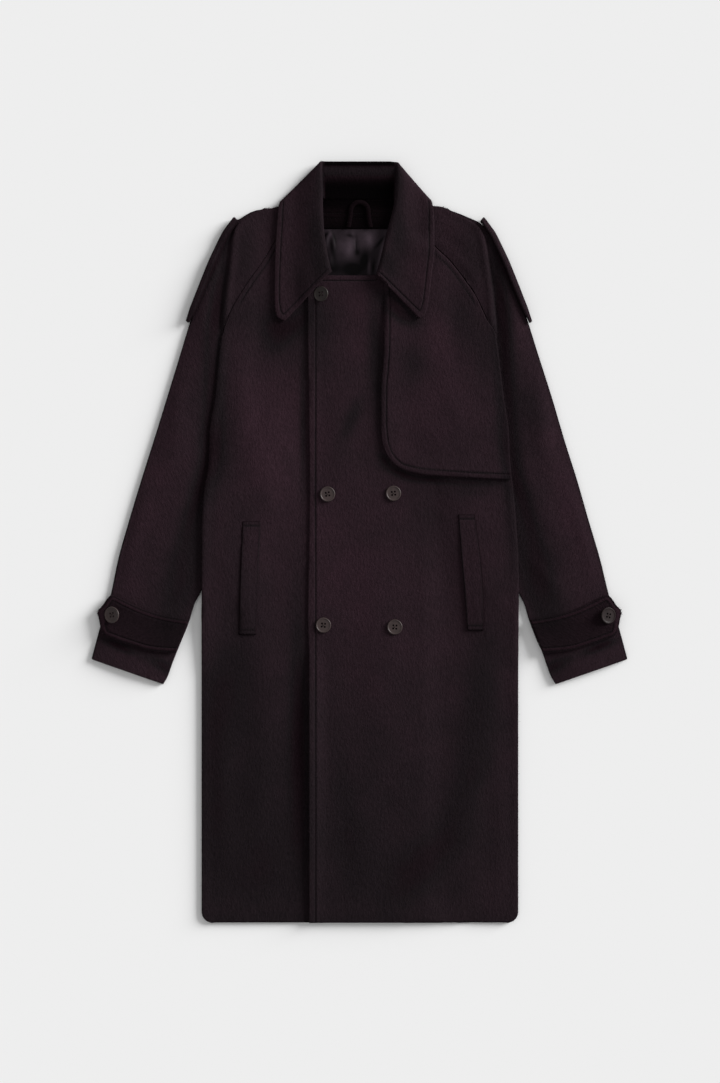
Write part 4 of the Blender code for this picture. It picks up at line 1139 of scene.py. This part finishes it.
def lining():
    """The satin below the facing, creased from its upper corners, with a pleat at the centre."""
    low = LINING.rows[0, 0]
    y = between(low, LINING_TOP, 1.5)
    west, east = LINING.curve("west", y), LINING.curve("east", y)
    plan = ruled(y, west, east, places(120.0, 1.5))
    x, y = plan[..., 0], plan[..., 1]
    rise = 0.6 + np.maximum(folds(LINING_FOLDS, x, y), -0.4)
    edge = np.minimum(x - west[:, None], east[:, None] - x)
    rise *= smooth(0, 5, edge) * smooth(low, low + 19, y) * (0.35 + 0.65 * smooth(0, 9, LINING_TOP - y))
    grid = laid(plan, solids("lining"), SATIN_WALL + 0.2, rise)
    # Painted highlights and shade along the creases
    return shell("lining", grid, SATIN_WALL, SATIN, shade_at(x, y, LINING_SHADES, 0.05, 2.0))


def hanger_loop():
    """A folded strap: two legs and a half-round bow, rounded across its width."""
    legs = [(-LOOP_HALF - LOOP_SPREAD * (1 - s) ** 1.5, LOOP_FOOT + (LOOP_BEND - LOOP_FOOT) * s, 1.0, 0.0)
            for s in np.linspace(0.0, 1.0, 9)[:-1]]
    bow = [(LOOP_HALF * math.cos(turn), LOOP_BEND + LOOP_HALF * math.sin(turn), -math.cos(turn),
            -math.sin(turn)) for turn in np.linspace(math.pi, 0.0, 25)]
    other = [(-x, y, -1.0, 0.0) for x, y, _, _ in legs[::-1]]
    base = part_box("hanger_loop")[0].z / MM
    grid = [[(x + u * LOOP_WIDTH * s, y + v * LOOP_WIDTH * s, base + 1.0 + 1.4 * (1 - 4 * s * s))
             for s in np.linspace(-0.5, 0.5, 7)] for x, y, u, v in legs + bow + other]
    return shell("hanger_loop", grid, LOOP_WALL, WOOL_FACING_SHADED, LOOP_SHADE)


def epaulette(side, name, outward):
    """A strap bent over the sleeve's top fold: its narrow top, and its side hanging outside."""
    half = STRAP_WALL / 2
    west, east = sorted((outward * 200.0, outward * 300.0))
    relief = Relief(solids("sleeve_front_" + name), (west, 370.0), (east, 560.0), 4.0, 2, 2)
    grid = []
    steps = places(190.0, 2.6) * 7.0
    for step in steps:
        x, y, inner_x, inner_y = (float(EPAULETTE.curve(key, step)) for key in EPAULETTE.columns[1:])
        rim = np.array([x + (WEST_SPREAD if side == "west" else 0.0), y])
        inner = np.array([inner_x, inner_y])
        way = unit(rim - inner)
        rim = rim - way * half
        z = float(relief.at(outward * inner_x, inner_y)) + CLEAR + half
        line = [(inner + (rim - way * STRAP_BEND - inner) * s, z + STRAP_CROWN * math.sin(math.pi * s))
                for s in np.linspace(0.0, 1.0, 6)]
        line += [(rim - way * STRAP_BEND * (1 - math.sin(a)), z - STRAP_BEND * (1 - math.cos(a)))
                 for a in np.linspace(0.0, 0.5 * math.pi, 6)[1:]]
        line += [(rim - way * STRAP_LEAN * s, z - STRAP_BEND - (z - STRAP_BEND - half - CLEAR) * s)
                 for s in np.linspace(0.0, 1.0, 7)[1:]]
        grid.append([(outward * p[0], p[1], h) for p, h in line])
    grid = np.array(grid)
    for (x, y), drawn in ((TIP_DRAWN, smooth(EPAULETTE_TIP, 0.0, steps)),
                          (POINT_DRAWN, smooth(EPAULETTE_POINT, 7.0, steps))):
        grid += drawn[:, None, None] * np.array((x * outward, y, 0.0))
    stitched = grid[4:-4, 4, :2]
    shade = EPAULETTE_SHADE.curve("light", np.linspace(0.0, 1.0, grid.shape[1]))
    return shell("epaulette_" + name, grid, STRAP_WALL, WOOL_SLEEVE[side], shade[None]), (stitched,)


def cuff_strap(side, name, outward):
    """A pointed strap across the cuff, stitched twice along both long edges."""
    steps = places(165.0, 2.6, PLAIN, POINT_END) * 7.0
    top, low = (np.stack([CUFF_STRAP.curve(edge + axis, steps) for axis in ("_x", "_y")], axis=1)
                for edge in ("top", "low"))
    plan = top[:, None] + (low - top)[:, None] * places(62.0, 2.2, STITCHED, STITCHED)[None, :, None]
    plan[..., 0] *= outward
    x, y = plan[..., 0], plan[..., 1]
    grid = laid(plan, solids("cuff_strap_" + name), STRAP_WALL, sleeve_rise(x, y) + 0.4, 4)
    lines = []
    for edge, way in ((plan[:, 0], -outward), (plan[:, -1], outward)):
        for distance in (EDGE_STITCH, STITCH_INSET):
            line = inset(edge, way * distance)
            lines.append(line[outward * line[:, 0] < POINT_CLEAR - 0.6 * distance])
    grid = grooved(grid, lines, 0.7)
    away = np.minimum(distance_to(plan[:, 0], x, y), distance_to(plan[:, -1], x, y))
    grid[..., 2] += STRAP_PUFF * smooth(0, 7, away)
    # Painted highlight along the rolled rims, and painted shade in the stitching
    shade = sewn_shade(grid, lines) * (1.0 + STRAP_RIM_LIGHT * bump(away - 5.5, 3.0))
    return shell("cuff_strap_" + name, grid, STRAP_WALL, WOOL_STRAP[side], shade), lines


def ring_faces(start, rings, sides):
    """The faces between rings of points, and those that close both ends."""
    faces = []
    for first in range(start, start + (rings - 1) * sides, sides):
        for k in range(sides):
            a, b = first + k, first + (k + 1) % sides
            faces.append((a, b, b + sides, a + sides))
    last = start + (rings - 1) * sides
    return faces + [tuple(range(start, start + sides))[::-1], tuple(range(last, last + sides))]


def turned(profile, sides):
    """Rings of points of a turned form from (radius, height) pairs, and the faces between them."""
    points = []
    for radius, height in profile:
        for k in range(sides):
            turn = 2 * math.pi * k / sides
            points.append((radius * math.cos(turn), radius * math.sin(turn), height))
    return points, ring_faces(0, len(profile), sides)


BUTTON_PROFILE = ((0.80, 0.0), (0.92, 0.08), (0.985, 0.3), (1.0, 0.5), (0.985, 0.70), (0.955, 0.84),
                  (0.915, 0.90), (0.875, 0.89), (0.845, 0.83), (0.815, 0.74), (0.77, 0.68), (0.68, 0.66),
                  (0.50, 0.65), (0.02, 0.64))
BUTTON_WALL = 3.6
HOLE = 3.4
HOLE_PITCH = 5.3
THREAD_TOP = 2.55
THREAD_REACH = 0.42
# A button's distance from its cloth, its largest turn, the share of its size that a lean lifts it by
BUTTON_GAP = 0.25
BUTTON_TURN = 12
LEAN_LIFT = 0.16
SHARP_ANGLE = math.radians(40)


def bored_button(name, diameter):
    """A turned button with a raised rim and four holes bored through it."""
    profile = [(r * diameter / 2, h * BUTTON_WALL) for r, h in BUTTON_PROFILE]
    blank = added(name, mesh_of(name, *turned(profile, 56)))
    ring, sides = turned(((HOLE / 2, -2.0), (HOLE / 2, 6.0)), 20)
    posts, post_faces = [], []
    for x, y in ((-0.5, -0.5), (-0.5, 0.5), (0.5, -0.5), (0.5, 0.5)):
        post_faces += [tuple(len(posts) + k for k in face) for face in sides]
        posts += [(px + x * HOLE_PITCH, py + y * HOLE_PITCH, pz) for px, py, pz in ring]
    cutter = added(name + "_posts", mesh_of(name + "_posts", posts, post_faces))
    holes = blank.modifiers.new("holes", "BOOLEAN")
    holes.operation = "DIFFERENCE"
    holes.object = cutter
    bpy.context.view_layer.update()
    made = bpy.data.meshes.new_from_object(blank.evaluated_get(bpy.context.evaluated_depsgraph_get()))
    points = np.array([v.co for v in made.vertices]) / MM
    faces = [tuple(p.vertices) for p in made.polygons]
    bpy.data.objects.remove(blank)
    bpy.data.objects.remove(cutter)
    return points, faces


def cross_thread():
    """Thread crossed over a button between its four holes."""
    points, faces = [], []
    for angle in (math.pi / 4, 3 * math.pi / 4):
        along = np.array((math.cos(angle), math.sin(angle), 0.0)) * HOLE_PITCH * THREAD_REACH
        for top in (THREAD_TOP, THREAD_TOP + 0.2):
            path = [along * s + np.array((0, 0, top - 1.7 * s ** 10)) for s in np.linspace(-1.0, 1.0, 11)]
            add_tube(points, faces, path, 0.16, 6)
    return points, faces


def add_tube(points, faces, path, radius, sides):
    """Append a closed tube along a path."""
    path = np.array(path)
    way = unit(np.gradient(path, axis=0))
    across = unit(np.cross(way, (0.013, 0.017, 1.0)))
    up = np.cross(across, way)
    start = len(points)
    for k, middle in enumerate(path):
        size = radius * (0.45 if k in (0, len(path) - 1) else 1.0)
        for side in range(sides):
            turn = 2 * math.pi * side / sides
            points.append(tuple(middle + size * (across[k] * math.cos(turn) + up[k] * math.sin(turn))))
    faces.extend(ring_faces(start, len(path), sides))


def buttons(grounds):
    """Every button on the cloth below it, with its own turn and its thread."""
    rng = np.random.default_rng(RNG_SEED)
    forms = {size: bored_button("blank_" + str(int(size)), size) for size in (FRONT_BUTTON, CUFF_BUTTON)}
    crossed = cross_thread()
    for name, (x, y, diameter, tilt) in BUTTONS.items():
        ring = [(x + diameter / 2 * math.cos(a), y + diameter / 2 * math.sin(a))
                for a in np.linspace(0, 2 * math.pi, 17)] + [(x, y)]
        base = float(np.nanmax(grounds[name].top(*zip(*ring)))) + BUTTON_GAP
        turn = math.radians(rng.uniform(-BUTTON_TURN, BUTTON_TURN))
        lean = math.radians(tilt)
        lift = abs(math.sin(lean)) * diameter * LEAN_LIFT
        for part, (points, faces), material in (("horn", forms[diameter], HORNS.get(name, HORN)),
                                                ("thread", crossed, SHANK)):
            px, py, pz = np.array(points).T
            across = px * math.cos(turn) - py * math.sin(turn)
            placed = np.stack((across * math.cos(lean) + pz * math.sin(lean) + x,
                               px * math.sin(turn) + py * math.cos(turn) + y,
                               pz * math.cos(lean) - across * math.sin(lean) + base + lift), axis=1)
            thing = link(part + "_" + name, placed, faces, material)
            if part == "horn":
                thing.data.set_sharp_from_angle(angle=SHARP_ANGLE)
                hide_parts(name)


def stitches(name, lines, ground):
    """Short threads along lines of stitching, sunk a little into the cloth."""
    points, faces = [], []
    for line in lines:
        for (x, y), way in zip(*even(np.asarray(line, dtype=float)[:, :2], STITCH_PITCH)):
            ends = [(x + way[0] * s, y + way[1] * s) for s in (-STITCH_LENGTH / 2, 0.0, STITCH_LENGTH / 2)]
            heights = ground.top(*zip(*ends))
            if np.isnan(heights).any():
                continue
            path = [(*end, z + sunk) for end, z, sunk in zip(ends, heights, STITCH_SUNK)]
            add_tube(points, faces, path, STITCH_RADIUS, 5)
    return link("stitching_" + name, points, faces, THREAD)


def hairs(name, roots, ways, lengths, width, rng):
    """Thin bent blades from their roots."""
    roots, ways = np.asarray(roots), unit(np.asarray(ways, dtype=float))
    count = len(roots)
    lengths = np.asarray(lengths)[:, None]
    side = unit(np.cross(ways, np.array([0.0, 0.0, 1.0])) + rng.normal(0, 0.05, (count, 3)))
    curl = unit(ways + rng.normal(0, 0.55, (count, 3)))
    middle = roots + ways * lengths * 0.5
    tip = middle + curl * lengths * 0.5
    half = width / 2
    points = np.stack((roots - side * half, roots + side * half, middle - side * half * 0.8,
                       middle + side * half * 0.8, tip), axis=1).reshape(-1, 3)
    points[:, 2] = np.maximum(points[:, 2], 0.05)
    start = np.arange(count) * 5
    faces = [face for k in start.tolist() for face in ((k, k + 1, k + 3, k + 2), (k + 2, k + 3, k + 4))]
    link(name, points, faces, HAIR, smoothed=False)


# Cloth whose painted shade is darker than this carries no fuzz; the rest has so many hairs to a point of its
# rim, or in all
LEAST_FUZZY = 0.5
EDGE_DENSITY = 0.55
NAP_FIBRES = 50000
EDGE_HAIR = 0.20
NAP_HAIR = 0.16


def read(items, key, width):
    values = np.empty(len(items) * width)
    items.foreach_get(key, values)
    return values.reshape(-1, width)


def edge_fuzz(things, rng):
    """Fuzz round the rims of cloth pieces: more of it where the rim faces outwards."""
    roots, ways = [], []
    for thing in things:
        points = read(thing.data.vertices, "co", 3) / MM
        normals = read(thing.data.vertex_normals, "vector", 3)
        shade = read(thing.data.attributes["shade"].data, "value", 1)[:, 0]
        rim = np.flatnonzero((np.abs(normals[:, 2]) < 0.85) & (points[:, 2] > 0.6) & (shade > LEAST_FUZZY))
        picked = rng.choice(rim, size=int(len(rim) * EDGE_DENSITY), replace=True)
        jitter = rng.normal(0, 0.7, (len(picked), 3)) * (1, 1, 0.3)
        roots.append(points[picked] + jitter - normals[picked] * 0.3)
        ways.append(normals[picked] + rng.normal(0, 0.5, (len(picked), 3)))
    roots, ways = np.concatenate(roots), np.concatenate(ways)
    hairs("fuzz_edges", roots, ways, rng.gamma(5.0, 0.34, len(roots)), EDGE_HAIR, rng)


def nap_fuzz(things, rng):
    """Loose fibres lying on the cloth, mostly along the nap."""
    roots, ways = [], []
    share = [sum(p.area for p in thing.data.polygons if p.normal.z > 0.5) for thing in things]
    for thing, area in zip(things, share):
        wanted = int(NAP_FIBRES * area / sum(share))
        marks = thing.data.attributes["shade"].data
        faces = [p for p in thing.data.polygons
                 if p.normal.z > 0.5 and marks[p.vertices[0]].value > LEAST_FUZZY]
        areas = np.array([p.area for p in faces])
        centres = np.array([p.center for p in faces]) / MM
        normals = np.array([p.normal for p in faces])
        picked = rng.choice(len(faces), size=wanted, p=areas / areas.sum())
        roots.append(centres[picked] + rng.normal(0, 1.0, (wanted, 3)) * (1, 1, 0) + (0, 0, -0.1))
        lie = np.array((0.0, -1.0, 0.35)) + rng.normal(0, 0.35, (wanted, 3))
        ways.append(lie + normals[picked] * 0.25)
    roots, ways = np.concatenate(roots), np.concatenate(ways)
    hairs("fuzz_nap", roots, ways, rng.gamma(5.0, 0.30, len(roots)), NAP_HAIR, rng)


FLOOR_HALF = 30000.0
FLOOR_DROP = 0.05


def floor():
    corners = [(x * FLOOR_HALF, y * FLOOR_HALF, -FLOOR_DROP) for x, y in ((-1, -1), (1, -1), (1, 1), (-1, 1))]
    mesh = mesh_of("floor", corners, [(0, 1, 2, 3)])
    mesh.materials.append(floor_paint())
    added("floor", mesh)


KEY_ELEVATION = 19.0
KEY_AZIMUTH = 28.0
KEY_SPREAD = 30.0
KEY_STRENGTH = 5.15
SKY_STRENGTH = 0.46


def lights():
    """A broad low key from the upper right and an even sky."""
    lamp = bpy.data.lights.new("key", "SUN")
    lamp.energy = KEY_STRENGTH
    lamp.angle = math.radians(KEY_SPREAD)
    key = added("key", lamp)
    elevation, azimuth = math.radians(KEY_ELEVATION), math.radians(KEY_AZIMUTH)
    source = Vector((math.cos(elevation) * math.cos(azimuth), math.cos(elevation) * math.sin(azimuth),
                     math.sin(elevation)))
    key.rotation_euler = source.to_track_quat("Z", "Y").to_euler()
    world = bpy.data.worlds.new("studio")
    world.use_nodes = True
    sky = world.node_tree.nodes["Background"]
    sky.inputs["Color"].default_value = (1.0, 1.0, 1.0, 1.0)
    sky.inputs["Strength"].default_value = SKY_STRENGTH
    bpy.context.scene.world = world


def camera():
    """Straight above the coat, with the photograph's frame."""
    lens = bpy.data.cameras.new("camera")
    lens.sensor_fit = "VERTICAL"
    lens.sensor_height = SENSOR
    lens.lens = SENSOR * CAMERA_HEIGHT / (PICTURE_HEIGHT * PIXEL)
    lens.clip_end = 100.0
    eye = added("camera", lens)
    x = (PICTURE_MIDDLE[0] - ORIGIN_PIXEL[0]) * PIXEL
    y = (ORIGIN_PIXEL[1] - PICTURE_MIDDLE[1]) * PIXEL
    eye.location = (x * MM, y * MM, CAMERA_HEIGHT * MM)
    bpy.context.scene.camera = eye


def main():
    rng = np.random.default_rng(RNG_SEED)
    camera()
    lights()
    floor()
    left, left_lines = over_lap()
    right, right_lines = under_lap()
    rear = back()
    sleeves = {name: sleeve(side, name, outward) for side, name, outward in SIDES}
    rear_sleeves = {name: sleeve_back(side, name, outward) for side, name, outward in SIDES}
    flap, flap_lines = storm_flap()
    welts = {name: welt(name) for name in WELTS}
    neck_facing, facing_lines = facing()
    satin_piece = lining()
    loop = hanger_loop()
    grid, stations, leaf_count = collar()
    leaf_lines = collar_paths(grid, stations, leaf_count)
    grid = grooved(grid, [line[:, :2] for line in leaf_lines])
    neck_collar = shell("collar", grid, COLLAR_WALL, WOOL_COLLAR,
                        collar_shade(grid, stations, leaf_count, leaf_lines))
    epaulettes = {name: epaulette(side, name, outward) for side, name, outward in SIDES}
    cuffs = {name: cuff_strap(side, name, outward) for side, name, outward in SIDES}
    grounds = dict.fromkeys(BUTTONS, Ground(left))
    grounds.update({"cuff_button_" + name: Ground(thing) for name, (thing, _) in cuffs.items()})
    buttons(grounds)
    seams = [("front_left", left_lines, [left]), ("front_right", right_lines, [right]),
             ("storm_flap", flap_lines, [left, flap]), ("collar", leaf_lines, [neck_collar]),
             ("facing", facing_lines, [neck_facing])]
    for kind, pieces in (("welt_", welts), ("cuff_strap_", cuffs), ("epaulette_", epaulettes)):
        seams += [(kind + name, lines, [thing]) for name, (thing, lines) in pieces.items()]
    sewing = {name: stitches(name, lines, Ground(*things)) for name, lines, things in seams}
    trims = [thing for thing, _ in [*welts.values(), *cuffs.values(), *epaulettes.values()]]
    edge_fuzz([left, right, flap, neck_collar, rear, *sleeves.values(), *trims], rng)
    nap_fuzz([left, right, flap, neck_collar, *sleeves.values(), *trims], rng)


main()
bpy.context.scene.view_settings.view_transform = "Standard"
bpy.context.view_layer.update()
